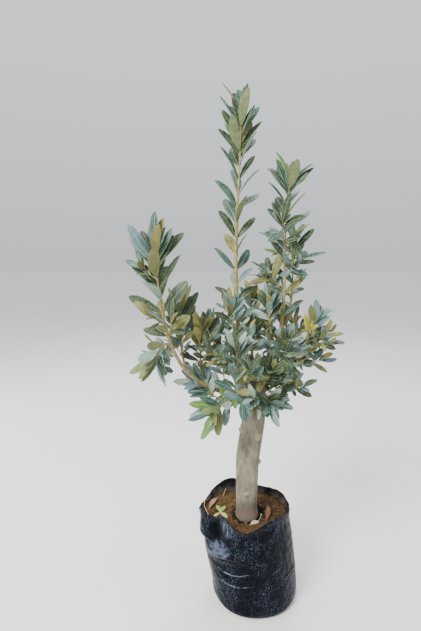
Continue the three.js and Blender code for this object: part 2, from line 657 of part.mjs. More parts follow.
// Blades from one root, resting on the soil and cut clear of it
function fallenSolid({ x, y, arms, length, broad }) {
  const root = new THREE.Vector3(x, y, soilHeight(x, y, 0.8) + LYING.lift);
  const blades = arms.map((heading) => {
    const way = bearing(heading, LYING.slope);
    const face = bearing(heading, LYING.slope + 90);
    const leaf = {
      root: root.clone().addScaledVector(way, -LYING.back),
      way,
      face,
      side: new THREE.Vector3().crossVectors(way, face),
      length,
      width: length * broad,
      bend: deg(LYING.bend),
    };
    return solidOf(bladeGeometry(leaf, 0, 1, { side: 0, face: LYING.thick }));
  });
  return largest(joined(blades).subtract(solidOf(soilGeometry().translate(0, 0, GAP))));
}

addNode("nursery_bag", bagGeometry(), FILM);
addNode("potting_soil", soilGeometry(), EARTH);
addNode("trunk", geometryOf(trunkSolid(0)), BARK);
buildShoots(boxed(trunkSolid(ROOM.limb)));
for (const bit of FALLEN)
  addNode(bit.name, geometryOf(fallenSolid(bit)), bit.arms.length > 1 ? SPRIG : DRY);

export default plant;
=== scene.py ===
# The looks of a young olive tree in a black nursery bag of soil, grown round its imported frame.
# The tables give millimetres and degrees, those of the camera, floor and lights metres, and every mesh
# is made in metres.
import json
import math

import bmesh
import bpy
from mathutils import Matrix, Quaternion, Vector, noise
from mathutils.bvhtree import BVHTree

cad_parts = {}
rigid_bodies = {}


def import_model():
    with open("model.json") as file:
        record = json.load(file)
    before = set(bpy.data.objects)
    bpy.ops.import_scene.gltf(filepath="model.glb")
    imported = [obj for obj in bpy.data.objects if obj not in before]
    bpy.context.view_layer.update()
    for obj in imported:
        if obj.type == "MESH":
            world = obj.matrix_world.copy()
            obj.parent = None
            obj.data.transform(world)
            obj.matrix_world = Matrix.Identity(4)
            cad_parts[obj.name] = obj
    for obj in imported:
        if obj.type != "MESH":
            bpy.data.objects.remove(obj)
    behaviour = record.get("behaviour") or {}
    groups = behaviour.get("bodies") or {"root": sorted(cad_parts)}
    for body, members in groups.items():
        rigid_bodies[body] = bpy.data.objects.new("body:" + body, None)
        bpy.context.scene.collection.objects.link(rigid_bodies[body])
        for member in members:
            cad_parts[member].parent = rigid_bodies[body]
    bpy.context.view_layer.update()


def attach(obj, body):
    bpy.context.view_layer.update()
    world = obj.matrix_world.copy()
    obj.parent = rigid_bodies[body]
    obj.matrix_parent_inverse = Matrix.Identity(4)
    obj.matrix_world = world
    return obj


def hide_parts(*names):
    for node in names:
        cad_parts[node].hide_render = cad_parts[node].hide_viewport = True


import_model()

MM = 0.001
UP = Vector((0, 0, 1))

# Where each stream of random numbers starts
SEEDS = {"folds": 301, "crumbs": 77, "pores": 911, "twigs": 7000, "sprigs": 5200, "crowns": 9000}
SEEDS.update({"colours": 4242, "fallen_sprig": 12})

# Camera: the photograph's place and angle, with its focal length in pixels of a picture this high
CAMERA = {"place": (-0.0775, -0.672, 0.584), "pitch": 8, "focal": 422, "height": 631}

# Bag: an oval film tube with a flat underside, leaning left towards its open rim
BAG = {"half_width": 73, "half_depth": 66, "foot_inset": 8, "foot_level": 0.08, "flare": 3, "rim": 161}
BAG.update({"lean": -18.5, "lean_curve": 1.4})
FILM = {"sides": 200, "ring_cuts": (99, 1), "thick": 0.45, "crinkle": 0.8, "ragged": 0.8}
# The share of the rings below the loose film, and the level where it starts
FILM.update({"firm_share": 0.8, "firm_level": 0.96})
RIM_WAVES = [
    {"at": 30, "spread": 18, "rise": 5},
    {"at": 105, "spread": 22, "rise": 13},
    {"at": 155, "spread": 14, "rise": -8},
    {"at": 205, "spread": 13, "rise": 14},
    {"at": 240, "spread": 12, "rise": 17},
    {"at": 268, "spread": 12, "rise": -5},
    {"at": 308, "spread": 27, "rise": 10},
]
PLEAT = {"at": 224, "spread": 9, "depth": 9, "level": 0.86}
FLAP = {"at": 198, "spread": 17, "depth": 8, "level": 0.79, "full": 0.85, "fade": 0.11}
# Where the film stands out: below the pleat, and over the whole left side
SWELLS = [
    {"at": 229, "spread": 24, "depth": 6, "level": 0.72, "tall": 0.07},
    {"at": 195, "spread": 45, "depth": 6.5, "level": 0.62, "tall": 0.33},
]
# Curved creases in the film: angle, height, half length in degrees, rise of the ends, depth, width
CREASES = [
    {"at": 239, "height": 78, "half": 22, "ends": 5, "depth": 2.2, "width": 1.3},
    {"at": 240, "height": 58, "half": 20, "ends": 3, "depth": 2.4, "width": 1.2},
    {"at": 236, "height": 104, "half": 20, "ends": -4, "depth": -1.6, "width": 2.6},
    {"at": 330, "height": 64, "half": 26, "ends": -7, "depth": 1.1, "width": 2},
    {"at": 40, "height": 98, "half": 24, "ends": 6, "depth": 1.3, "width": 2},
    {"at": 110, "height": 60, "half": 30, "ends": 8, "depth": 1.2, "width": 2.2},
    {"at": 165, "height": 92, "half": 20, "ends": -6, "depth": 1.2, "width": 2},
]
# Small upright folds dealt round the rim, each measure between two ends
RIM_FOLDS = {"count": 22, "spread": (2.5, 6.5), "depth": (-1.17, 1.43), "level": (0.7, 1.05)}
# A pale patch on the film's ledge: dust with a painted reflection of the sky, which ends upwards in a
# sloping edge
LEDGE_DUST_AND_SHEEN = {"at": (-66, -54, 112), "reach": 23, "edge": 132, "soft": 2, "slope": -0.45}
# Folds of the film that catch the light, and the shaded hollow of the pleat
LIT_FOLDS = {"at": (-54, -59, 155), "reach": 21}
PLEAT_SHADE = {"at": (-70, -38, 145), "reach": 13}

SOIL = {"top": 150, "floor": 2, "lump": 1.6, "wall_rings": 8, "clod": 1.5, "grit": 0.55, "edge_drop": 2.2}
SOIL.update({"edge_inset": FILM["thick"] + 0.5, "wall_inset": 8})
# The soil's gap round the trunk's foot: where, how wide an angle, how deep and how far out
FOOT_GAPS = [
    {"at": 30, "spread": 36, "depth": 8, "reach": 20},
    {"at": 345, "spread": 24, "depth": 8, "reach": 8},
    {"at": 315, "spread": 30, "depth": 8, "reach": 8},
    {"at": 262, "spread": 50, "depth": 11, "reach": 13},
]
# Loose crumbs: how many, their size, the tilt of each ring, its sides, and how flat they lie
CRUMBS = {"count": 560, "size": (0.5, 2.2), "rings": (-50, 10, 55), "sides": 5, "flat": 0.75}

TRUNK = {"sides": 12, "seat_depth": 0.5, "foot": Vector((-15.5, -8, 150.3)), "buried": 11}
BARK = {"sides": 160, "ring_cuts": (99, 1), "ridge": 0.17, "grain": 0.07, "swell": 0.9}
# The share of the rings on the trunk's side, below those of its cut head
BARK["side_share"] = 0.94
TRUNK_LINE = [
    # rise above the foot, shift to the right, shift to the back, radius
    (0, 0, 0, 18.4),
    (12, -0.3, 1, 17.6),
    (45, -0.8, 3, 17.9),
    (85, 0, 6, 18.6),
    (115, 3, 8, 19.2),
    (145, 7.5, 10, 19.4),
    (172, 10.5, 11, 18.6),
    (195, 12, 12, 18),
    (210, 12.5, 12, 18),
    (221, 12.5, 12, 15.5),
    (227, 12.5, 12, 10),
]
# Healed stubs: rise above the foot, facing, size and how far each stands out
KNOTS = [
    {"rise": 44, "facing": 266, "size": 3.6, "proud": 1.6},
    {"rise": 92, "facing": 352, "size": 4.2, "proud": 3.4},
    {"rise": 140, "facing": 300, "size": 5, "proud": 2.2},
    {"rise": 147, "facing": 186, "size": 6, "proud": 2.4},
    {"rise": 118, "facing": 80, "size": 4.4, "proud": 2},
]
# Small raised pores in the bark: how many, their rise above the foot, and their size
PORES = {"count": 70, "rise": (8, 213), "size": (0.7, 1.6), "proud": 0.34}
# A pale scar on the trunk's left
SPOT = (-29, -16, 249)

# The point in the trunk's head from which the shoots' tips are measured
HEAD = Vector((-3.5, 4, 372))
# The source's limbs: their sides and steps, the radius at the tip, and at the root by their length
LIMB = {"sides": 5, "steps": 5, "tip": 0.9, "base": 1.1, "per_length": 0.0085}
# The steps in every limb's curve
CURVE_STEPS = 40
# How leaf pairs crowd towards a stem's tip
CLOSER = 1.3

# What the values of a shoot's row are, in their order
SHOOT_PARTS = ("name", "springs", "heading", "reach", "rise", "leave", "arrive", "bow", "bare", "pairs")
SHOOT_PARTS += ("leaf", "broad", "turn", "twigs", "fine", "mix", "open", "closer")


def shoot(*values):
    """A row of the table of shoots, by the source's names, with its finer twigs and its colours."""
    return {"open": (60, 22), "closer": CLOSER, **dict(zip(SHOOT_PARTS, values))}


# springs: a height on the trunk, or the parent's name and the share of its whole curve
SHOOTS = [
    shoot("leader", 376, 188, 28, 420, 66, 90, 0.28, 0.25, 16, 56, 0.24, 12, 0, 1, "tall", (52, 18)),
    shoot("right", 372, 355, 49, 322, 56, 80, 0.32, 0.36, 12, 51, 0.27, 40, 4, 3, "tall", (62, 34), 1.8),
    shoot("left", 356, 208, 172, 212, 12, 84, 0.5, 0.6, 9, 62, 0.28, 60, 0, 3, "khaki", (46, 20)),
    shoot(
        "left_back", ("left", 0.42), 184, 124, 118, 24, 84, 0.45, 0.3, 7, 52, 0.23, 20, 1, 1, "tall",
        (44, 18),
    ),
    shoot(
        "left_low", ("left", 0.57), 199, 166, 52, 34, -78, 0.5, 0.18, 8, 42, 0.32, 190, 1, 3, "misty",
        (64, 36),
    ),
    shoot("left_inner", ("left", 0.26), 194, 96, 90, 30, 74, 0.4, 0.3, 7, 42, 0.24, 30, 2, 3, "khaki"),
    shoot("left_under", 343, 200, 100, 16, -2, 14, 0.4, 0.32, 7, 38, 0.3, 50, 2, 3, "silver"),
    shoot("front_left", 346, 224, 97, -20, 8, -34, 0.4, 0.4, 6, 44, 0.28, 15, 2, 2, "fresh"),
    shoot("front_mid", 362, 246, 62, -4, 18, -14, 0.4, 0.36, 6, 38, 0.3, 35, 2, 3, "silver"),
    shoot("front_high", 370, 240, 74, 76, 35, 66, 0.4, 0.36, 7, 36, 0.28, 10, 2, 6, "ball"),
    shoot("front_centre", 364, 284, 70, 44, 24, 36, 0.4, 0.36, 7, 36, 0.3, 25, 2, 6, "khaki"),
    shoot("front_right", 374, 312, 68, 80, 40, 62, 0.4, 0.36, 7, 38, 0.28, 55, 2, 6, "ball"),
    shoot("front_low", 348, 284, 64, -8, 12, -20, 0.4, 0.36, 6, 38, 0.28, 5, 2, 3, "ball"),
    shoot("right_low", 362, 350, 94, 110, 22, 66, 0.45, 0.5, 7, 40, 0.28, 20, 2, 3, "golden"),
    shoot("right_inner", ("right_low", 0.36), 1, 78, 82, 30, 64, 0.4, 0.25, 6, 38, 0.26, 70, 2, 6, "ball"),
    shoot("right_under", 350, 334, 54, 12, 14, 22, 0.4, 0.36, 6, 33, 0.32, 30, 2, 3, "ball"),
    shoot("right_side", ("right", 0.2), 302, 29, 140, 54, 84, 0.35, 0.3, 6, 34, 0.28, 45, 1, 3, "ball"),
    shoot("right_back", ("right", 0.26), 8, 60, 236, 54, 86, 0.35, 0.3, 8, 38, 0.28, 15, 1, 2, "tall"),
    shoot("leader_side", ("leader", 0.14), 204, 46, 134, 54, 84, 0.35, 0.3, 6, 34, 0.27, 30, 1, 3, "ball"),
    shoot("back_left", 364, 146, 90, 92, 20, 68, 0.45, 0.4, 7, 40, 0.27, 10, 2, 3, "ball"),
    shoot(
        "back_left_low", ("back_left", 0.3), 128, 84, 26, 5, 15, 0.4, 0.25, 6, 38, 0.28, 40, 2, 3,
        "silver",
    ),
    shoot("back_right", 358, 44, 84, 104, 22, 70, 0.45, 0.4, 7, 40, 0.27, 30, 2, 3, "ball"),
    shoot(
        "back_right_low", ("back_right", 0.3), 26, 94, 36, 5, 30, 0.4, 0.25, 6, 38, 0.28, 0, 2, 3,
        "ball",
    ),
    shoot("back_centre", 374, 92, 62, 138, 42, 82, 0.4, 0.36, 8, 40, 0.26, 45, 2, 3, "tall"),
    shoot("back_low", 348, 84, 72, 4, 10, -8, 0.4, 0.36, 6, 38, 0.28, 20, 2, 3, "silver"),
    shoot("inner", ("back_centre", 0.2), 100, 24, 100, 66, 84, 0.35, 0.3, 6, 36, 0.27, 60, 1, 3, "ball"),
]

# Leaf pairs and side twigs by the source's rule
LEAF = {
    "small": 0.72, "bend": (14, 30), "roll": 26, "stray": {"spread": 12, "round": 20},
    "light": Vector((-0.15, -0.8, 0.45)), "lean": 60, "breadth": (1.35, 0.95), "tries": 7,
    "clear_others": 0.05, "clear_own": 0.17, "low": (0.34, 0.95), "high": (0.72, 0.82),
}
TWIG = {"angle": 48, "length": 42, "pairs": 3, "leaf": 0.82, "radius": 1.0, "turn": 137.5}
TWIG.update({"lowest": 0.1, "span": 0.45, "stray": 30, "rise": 0.18, "curl": 22, "bare": 0.35, "broad": 1})
# The bow of every twig, and the steepest that one ends
TWIG_BOW = 0.35
STEEPEST = 88
# How far a leaf keeps clear to its sides and its faces, and a limb all round
ROOM = {"side": 0.9, "face": 1.3, "limb": 1.2}
TIGHT_ROOM = {"side": 0, "face": 0.4}
BLADE_FACES = [(0, 1, 5), (1, 4, 5), (1, 2, 4), (2, 3, 4), (3, 2, 1), (3, 1, 0), (3, 0, 5), (3, 5, 4)]

# Finer growth than the source's: short twigs from the leaf axils and small leaves closing every tip
SPRIG = {"angle": 44, "length": (15, 26), "pairs": 2, "leaf": 0.56, "radius": 0.7}
SPRIG.update({"highest": 0.7, "stray": 12, "rise": 0.15, "curl": 18, "bare": 0.45, "broad": 1.1})
CROWN_LEAVES = {"count": 4, "tries": 6, "share": (0.32, 0.6), "angle": (12, 34), "broad": 0.3, "down": 3}
TOP_LEAVES = {"count": 8, "tries": 30, "share": (0.6, 1.12), "angle": (10, 36), "broad": 0.27, "down": 15}
TOP_LEAVES.update({"flat": 0.75, "under_from": 120})
# Shoots longer than this carry more of them, and further down
TALL_FROM = 380
TALL_LEAVES = {**TOP_LEAVES, "count": 14, "tries": 60, "share": (0.95, 1.0), "broad": 0.26, "down": 60}

# The leaf's stations from its stalk to its tip, and the cut across it
STATIONS = (0, 0.05, 0.14, 0.28, 0.46, 0.64, 0.82, 0.94)
SHAPE = {"stalk": 0.05, "skew": 1.22, "fullness": 0.57, "stalk_half": 0.5, "rib": 0.055, "rib_under": 0.5}
SHAPE.update({"camber": 0.12, "fold": (0.0, 0.2), "twist": 16, "groove": 0.12, "margin": 0.82})

# Limbs: thicker than the source's, with a collar past the part sunk in the limb they spring from
WOOD = {"thicker": 1.12, "tip": 0.95, "collar": 0.75, "collar_length": 4.5, "sunk": 1.5}
WOOD.update({"sunk_in_trunk": 8, "twig_taper": (1.05, 0.6), "twig_collar": 0.6, "twig_collar_length": 2.5})
# How many sides each has, and how far apart its rings are
WOOD_GRID = {"bough": (14, 1.6), "stem": (10, 1.5), "twig": (8, 1.5)}

# Leaf colours in sRGB: blade, its shaded variant, rib and stalk, underside
LEAF_TONES = {
    "deep": ((37, 51, 36), (58, 75, 51), (122, 135, 100), (112, 113, 70)),
    "teal": ((46, 74, 66), (68, 98, 86), (128, 148, 122), (108, 118, 80)),
    "slate": ((76, 102, 106), (98, 126, 128), (152, 172, 162), (122, 146, 134)),
    "grey": ((120, 142, 134), (144, 162, 148), (176, 188, 168), (156, 166, 144)),
    "khaki": ((92, 98, 52), (116, 118, 66), (150, 147, 90), (140, 132, 78)),
    "fresh": ((78, 116, 54), (104, 140, 70), (158, 180, 112), (136, 156, 98)),
    "yellow": ((204, 188, 36), (184, 176, 56), (214, 202, 98), (196, 184, 80)),
}
MIXES = {
    "tall": {"deep": 7, "teal": 6, "slate": 2, "khaki": 1.5, "fresh": 0.7},
    "khaki": {"deep": 5, "teal": 2, "slate": 1, "khaki": 3},
    "silver": {"deep": 1, "teal": 3, "slate": 4, "grey": 3},
    "misty": {"teal": 7, "slate": 4, "fresh": 0.4},
    "ball": {"deep": 6, "teal": 4, "slate": 2.6, "grey": 1.7, "khaki": 1.2},
    "fresh": {"deep": 1, "teal": 2, "slate": 2, "grey": 1, "khaki": 0.6, "fresh": 3},
    "golden": {"deep": 3, "teal": 3, "slate": 2, "grey": 1, "khaki": 3},
}
# Where leaves have turned yellow: across, up and how far round it
YELLOWED = [(67, 495, 13), (80, 473, 8)]

# Bits lying on the soil: the root, the ways that blades point, length and breadth
FALLEN = {
    "fallen_leaf_rim": {"x": -80.5, "y": 3, "arms": [64], "length": 38, "broad": 0.21},
    "fallen_leaf_foot": {"x": -12, "y": -39, "arms": [24], "length": 19, "broad": 0.48},
    "fallen_leaf_right": {"x": 13.5, "y": -31, "arms": [78], "length": 45, "broad": 0.2},
    "fallen_sprig": {"x": -61, "y": -6.5, "arms": [304, 234, 64, 107], "length": 24, "broad": 0.3},
}
LYING = {"lift": 0.4, "slope": 20, "bend": 30, "back": 3}
# Straws, each as the points along it
STRAWS = [
    [(-89, 22, 157), (-88, 6, 160), (-88, -14, 168), (-86, -30, 174), (-81, -40, 170)],
    [(7, -12, 152), (7.5, -19, 157), (5, -27, 156), (0.5, -33, 152.5)],
    [(-49.5, 55, 158.5), (-51.5, 50, 156), (-54.5, 44, 152)],
]

# Lights: name, place, aim, size, watts and colour
LIGHTS = [
    ("key_light", (-1.3, -1.5, 2.1), (-0.02, 0, 0.42), 0.9, 110, (1.0, 0.98, 0.95)),
    ("fill_light", (1.6, -0.8, 1.2), (0, 0, 0.4), 1.4, 12, (0.93, 0.96, 1.0)),
    ("left_light", (-1.7, 0.5, 0.7), (0, 0, 0.35), 0.9, 16, (0.98, 0.98, 1.0)),
    ("top_light", (0.3, 1.2, 2.0), (0, 0, 0.4), 1.0, 26, (0.96, 0.98, 1.0)),
]
# The backdrop brightens upwards from the floor's own tone
BACKDROP = {"low": 0.8, "high": 1.05, "high_from": 0.4, "colour": (0.95, 0.97, 1.0, 1)}
FLOOR = {"size": 30, "drop": 0.0005}


def lerp(low, high, share):
    return low + (high - low) * share


def bell(distance, spread):
    return math.exp(-((distance / spread) ** 2))


def apart(a, b):
    """The signed angle from b to a, in degrees."""
    return (a - b + 540) % 360 - 180


def smooth(value, low, high):
    share = min(1, max(0, (value - low) / (high - low)))
    return share * share * (3 - 2 * share)


def seeded(seed):
    """A seeded stream of numbers from 0 to 1, the source's own."""
    state = ((seed + 1) * 2654435761 & 0xFFFFFFFF) ^ 40503

    def draw():
        nonlocal state
        state = (state * 1664525 + 1013904223) & 0xFFFFFFFF
        return state / 4294967296

    draw()
    draw()
    return draw


# Shader maths

class Wire:
    """A value in a material's nodes. Arithmetic on it adds the Math nodes that work it out."""

    def __init__(self, finish, socket):
        self.finish = finish
        self.socket = socket

    def math(self, operation, *values):
        return self.finish.add("Math", {"operation": operation}, dict(enumerate(values)))

    def __add__(self, other):
        return self.math("ADD", self, other)

    def __sub__(self, other):
        return self.math("SUBTRACT", self, other)

    def __rsub__(self, other):
        return self.math("SUBTRACT", other, self)

    def __mul__(self, other):
        return self.math("MULTIPLY", self, other)

    __radd__ = __add__
    __rmul__ = __mul__


class Finish:
    """A procedural material on object coordinates."""

    def __init__(self, name, roughness=0.5, sheen=0.2):
        self.material = bpy.data.materials.new(name)
        self.material.use_nodes = True
        self.tree = self.material.node_tree
        self.surface = self.tree.nodes["Principled BSDF"]
        self.place = self.add("TexCoord", output="Object")
        self.set("Roughness", roughness)
        self.set("Specular IOR Level", sheen)

    def add(self, kind, settings=None, values=None, output=0):
        node = self.tree.nodes.new("ShaderNode" + kind)
        for key, value in (settings or {}).items():
            setattr(node, key, value)
        for key, value in (values or {}).items():
            self.feed(node.inputs[key], value)
        return Wire(self, node.outputs[output])

    def feed(self, socket, value):
        if isinstance(value, Wire):
            self.tree.links.new(value.socket, socket)
        else:
            socket.default_value = value

    def set(self, name, value):
        self.feed(self.surface.inputs[name], value)

    def stretched(self, stretch):
        return self.add("Mapping", {}, {"Vector": self.place, "Scale": stretch})

    def noise(self, size, detail=3.0, stretch=(1, 1, 1), warp=0.0):
        """Cloudy noise from 0 to 1 whose patches are about size millimetres across."""
        values = {"Vector": self.stretched(stretch), "Scale": 1 / (size * MM), "Detail": detail}
        return self.add("TexNoise", {}, {**values, "Distortion": warp})

    def cells(self, size, stretch=(1, 1, 1)):
        """Distance to the nearest of scattered points about size millimetres apart."""
        return self.add("TexVoronoi", {}, {"Vector": self.stretched(stretch), "Scale": 1 / (size * MM)})

    def band(self, value, low, high):
        """0 below low and 1 above high, eased between them."""
        settings = {"interpolation_type": "SMOOTHSTEP"}
        return self.add("MapRange", settings, {"Value": value, "From Min": low, "From Max": high})

    def near(self, point, radius, core=0.4):
        """1 within a share of a radius round a point in millimetres, falling to 0 at the radius."""
        there = tuple(Vector(point) * MM)
        distance = self.add("VectorMath", {"operation": "DISTANCE"}, {0: self.place, 1: there}, "Value")
        return 1 - self.band(distance, radius * MM * core, radius * MM)

    def part(self, axis):
        return self.add("SeparateXYZ", {}, {0: self.place}, axis)

    def height(self):
        return self.part("Z")

    def above(self, low, high):
        """0 below one height and 1 above the other, both in millimetres."""
        return self.band(self.height(), low * MM, high * MM)

    def crease_line(self, crease):
        """1 along a curved crease of the bag's film, falling to 0 beside it and past its ends."""
        shift = bag_shift(crease["height"]) * MM
        turn = self.add("Math", {"operation": "ARCTAN2"}, {0: self.part("Y"), 1: self.part("X") - shift})
        across = (turn - math.radians(crease["at"] - 360)) * (1 / math.radians(crease["half"]))
        line = crease["height"] * MM + across * across * (crease["ends"] * MM)
        off = self.add("Math", {"operation": "ABSOLUTE"}, {0: self.height() - line})
        beside = 1 - self.band(off, 0, crease["width"] * MM)
        return beside * (1 - self.band(across * across, 0.5, 1.3))

    def mix(self, share, first, second):
        return self.add("Mix", {"data_type": "RGBA"}, {0: share, 6: first, 7: second}, 2)

    def bump(self, height, depth, strength=1.0):
        """Relief depth millimetres deep where height runs from 0 to 1."""
        values = {"Height": height, "Distance": depth * MM, "Strength": strength}
        self.set("Normal", self.add("Bump", {}, values, "Normal"))


def tone(red, green, blue):
    """An sRGB colour as the linear one that a shader takes."""
    def linear(part):
        share = part / 255
        return share / 12.92 if share <= 0.04045 else ((share + 0.055) / 1.055) ** 2.4

    return (linear(red), linear(green), linear(blue), 1.0)


def film_finish():
    film = Finish("black_film", sheen=0.045)
    patches = film.band(film.noise(30, 2), 0.42, 0.62)
    specks = film.band(film.noise(0.9, 2), 0.63, 0.67) * (0.2 + 0.8 * patches)
    streaks = film.band(film.noise(2.2, 2, (1, 1, 0.06)), 0.6, 0.72)
    streaks = streaks * film.band(film.noise(16, 2), 0.48, 0.62)
    haze = film.band(film.noise(9, 4), 0.5, 0.8) * 0.03
    high = film.above(90, 150)
    # Dust with a painted reflection of the sky on the ledge, cut off upwards along a sloping edge
    ledge_dust_and_sheen = film.near(LEDGE_DUST_AND_SHEEN["at"], LEDGE_DUST_AND_SHEEN["reach"], 0.6) * film.band(film.noise(6, 3), 0.3, 0.6)
    edge_low, edge_high = (LEDGE_DUST_AND_SHEEN["edge"] - LEDGE_DUST_AND_SHEEN["soft"]) * MM, LEDGE_DUST_AND_SHEEN["edge"] * MM
    ledge_dust_and_sheen = ledge_dust_and_sheen * film.band(film.height() + film.part("X") * LEDGE_DUST_AND_SHEEN["slope"], edge_low, edge_high)
    # Painted highlights along the ridges of the first two creases, broken by noise
    lines = 0
    for crease in CREASES[:2]:
        lines = film.crease_line(crease) * film.band(film.noise(5, 2), 0.35, 0.55) + lines
    lit_folds = film.near(LIT_FOLDS["at"], LIT_FOLDS["reach"])
    lit_folds = lit_folds * film.band(film.noise(2.2, 2, (1, 1, 0.08)), 0.48, 0.64)
    # Dust, specks and streaks, with the painted highlights of the ledge, the creases and the lit folds
    # added in
    dust_and_sheen = specks * 0.7 + streaks * (0.04 + 0.12 * high) + haze
    dust_and_sheen = dust_and_sheen + ledge_dust_and_sheen * 0.24 + lines * 0.5 + lit_folds * 0.26
    shaded = dust_and_sheen * (1 - film.near(PLEAT_SHADE["at"], PLEAT_SHADE["reach"], 0.5) * 0.9)
    black = film.mix(film.noise(24, 2), tone(2, 3, 6), tone(6, 10, 20))
    film.set("Base Color", film.mix(shaded, black, tone(146, 159, 188)))
    film.set("Roughness", 0.3 + 0.35 * dust_and_sheen)
    crinkles = film.noise(7, 3, (1, 1, 0.7), 0.6) + 0.35 * film.noise(2, 2)
    film.bump(crinkles, 0.8, 0.5)
    return film.material


def inner_film_finish():
    """The film's inner side: greyer and smoother, with earth clinging above the soil."""
    film = Finish("inner_film", sheen=0.12, roughness=0.5)
    grey = film.mix(film.noise(14, 3), tone(9, 10, 13), tone(24, 26, 30))
    dusty = (1 - film.above(150, 168)) * film.band(film.noise(12, 3), 0.3, 0.6)
    greyed = film.mix(dusty * 0.75, grey, tone(86, 82, 76))
    earthy = (1 - film.above(149, 155)) * film.band(film.noise(4, 3), 0.4, 0.6) * 0.7
    film.set("Base Color", film.mix(earthy, greyed, tone(88, 68, 46)))
    film.bump(film.noise(8, 3), 0.8, 0.4)
    return film.material


def soil_finish():
    soil = Finish("orange_earth", roughness=0.95)
    warm = soil.mix(soil.band(soil.noise(11, 4), 0.35, 0.65), tone(60, 45, 27), tone(90, 68, 42))
    grains = soil.mix(soil.band(soil.noise(0.9, 3), 0.54, 0.64) * 0.6, warm, tone(124, 98, 66))
    pits = soil.band(soil.cells(2.4), 0.55, 0.85) * 0.6
    dark = soil.mix(pits, grains, tone(34, 24, 17))
    # Painted shade: a ragged dark ring in the gap round the trunk's foot, a dark hollow to its back right
    # and a dimmer stretch of soil towards the right
    foot = TRUNK["foot"]
    round_foot = soil.near((foot.x, foot.y, SOIL["top"] - 3), TRUNK_LINE[0][3] + 11, 0.86)
    hollow = soil.near((foot.x + 24, foot.y + 14, SOIL["top"] - 5), 20, 0.5)
    dim = soil.near((foot.x + 40, foot.y + 10, SOIL["top"]), 44, 0.4) * 0.62
    crack_shade = round_foot * soil.band(soil.noise(7, 3), 0.3, 0.5)
    hollow_and_dim_shade = soil.add("Math", {"operation": "MAXIMUM"}, {0: hollow * 0.9, 1: dim})
    shade = soil.add("Math", {"operation": "MAXIMUM"}, {0: crack_shade * 0.92, 1: hollow_and_dim_shade})
    soil.set("Base Color", soil.mix(shade, dark, tone(15, 11, 9)))
    soil.bump(soil.noise(1.6, 5) + soil.noise(0.5, 2) * 0.4, 1.1)
    return soil.material


def bark_finish(knot_places):
    bark = Finish("smooth_bark", roughness=0.72)
    cloudy = bark.band(bark.noise(15, 4, (1, 1, 0.45)), 0.36, 0.64)
    pale = bark.mix(cloudy, tone(92, 89, 75), tone(136, 130, 111))
    green = bark.band(bark.noise(34, 3, (1, 1, 0.4)), 0.5, 0.68) * 0.3
    mossy = bark.mix(green, pale, tone(108, 111, 84))
    streaks = bark.noise(2.4, 3, (1, 1, 0.16))
    streaked = bark.mix(bark.band(streaks, 0.5, 0.7) * 0.22, mossy, tone(88, 80, 64))
    foot = (1 - bark.above(156, 188)) * bark.band(bark.noise(9, 3, (1, 1, 0.5)), 0.25, 0.5)
    rosy = bark.mix(foot * 0.75, streaked, tone(110, 91, 82))
    flecks = bark.band(bark.noise(1.2, 2, (1, 1, 0.7)), 0.62, 0.68) * 0.5
    flecked = bark.mix(flecks, rosy, tone(70, 65, 52))
    pale_dots = bark.band(bark.cells(7, (1, 1, 0.7)), 0.0, 0.16)
    dotted = bark.mix((1 - pale_dots) * 0.4, flecked, tone(168, 160, 136))
    rims, hearts, shades = bark.near(SPOT, 4) * 0.6, 0, 0
    for place, reach in knot_places:
        rims = bark.near(place, reach, 0.6) + rims
        hearts = bark.near(place, reach * 0.36) + hearts
        shades = bark.near(place + Vector((reach * 0.25, 0, -reach * 0.55)), reach) + shades
    shaded = bark.mix(shades * 0.55, dotted, tone(66, 58, 46))
    ringed = bark.mix(rims * 0.6, shaded, tone(164, 152, 126))
    hearted = bark.mix(hearts * 0.5, ringed, tone(112, 90, 66))
    # Painted shade: the bark turns near black below the soil's level, where it shows in the gaps round the
    # trunk's foot
    uneven = bark.noise(6, 2) * (6 * MM)
    buried = 1 - bark.band(bark.height() - uneven, 144.5 * MM, 146 * MM)
    bark.set("Base Color", bark.mix(buried * 0.92, hearted, tone(26, 19, 15)))
    bark.bump(streaks * 0.6 + bark.noise(1.1, 3, (1, 1, 0.5)) * 0.6, 0.4, 0.6)
    return bark.material


def cut_wood_finish():
    wood = Finish("cut_wood", roughness=0.85)
    rings = wood.noise(2.2, 3)
    wood.set("Base Color", wood.mix(rings, tone(92, 78, 56), tone(136, 118, 88)))
    wood.bump(rings, 0.6)
    return wood.material


def shoot_finish(name, shaded, lit, tint):
    bark = Finish(name, roughness=0.66)
    streaks = bark.noise(3, 3, (1, 1, 0.4))
    skin = bark.mix(bark.band(streaks, 0.35, 0.65), shaded, lit)
    flushed = bark.mix(bark.band(bark.noise(26, 2), 0.48, 0.64) * 0.6, skin, tint)
    flecks = bark.band(bark.noise(1, 2), 0.62, 0.7) * 0.3
    bark.set("Base Color", bark.mix(flecks, flushed, tone(96, 86, 60)))
    bark.bump(streaks + bark.noise(0.8, 2) * 0.4, 0.35, 0.8)
    return bark.material


def blade_finish(name, plain, variant):
    blade = Finish(name, sheen=0.3)
    by_leaf = blade.band(blade.noise(17, 1), 0.36, 0.64)
    mottle = blade.band(blade.noise(3, 3), 0.48, 0.7) * 0.18
    skin = blade.mix(by_leaf, plain, variant)
    blade.set("Base Color", blade.mix(mottle, skin, tone(166, 178, 156)))
    blade.set("Roughness", 0.36 + 0.2 * blade.noise(3, 2))
    blade.bump(blade.noise(3, 2), 0.15, 0.5)
    return blade.material


def matte_finish(name, first, second, size=3.0, roughness=0.75, relief=0.2):
    """A dull skin of two near colours in patches."""
    skin = Finish(name, roughness=roughness)
    patches = skin.noise(size, 3)
    skin.set("Base Color", skin.mix(skin.band(patches, 0.35, 0.65), first, second))
    skin.bump(patches, relief, 0.7)
    return skin.material


# Meshes

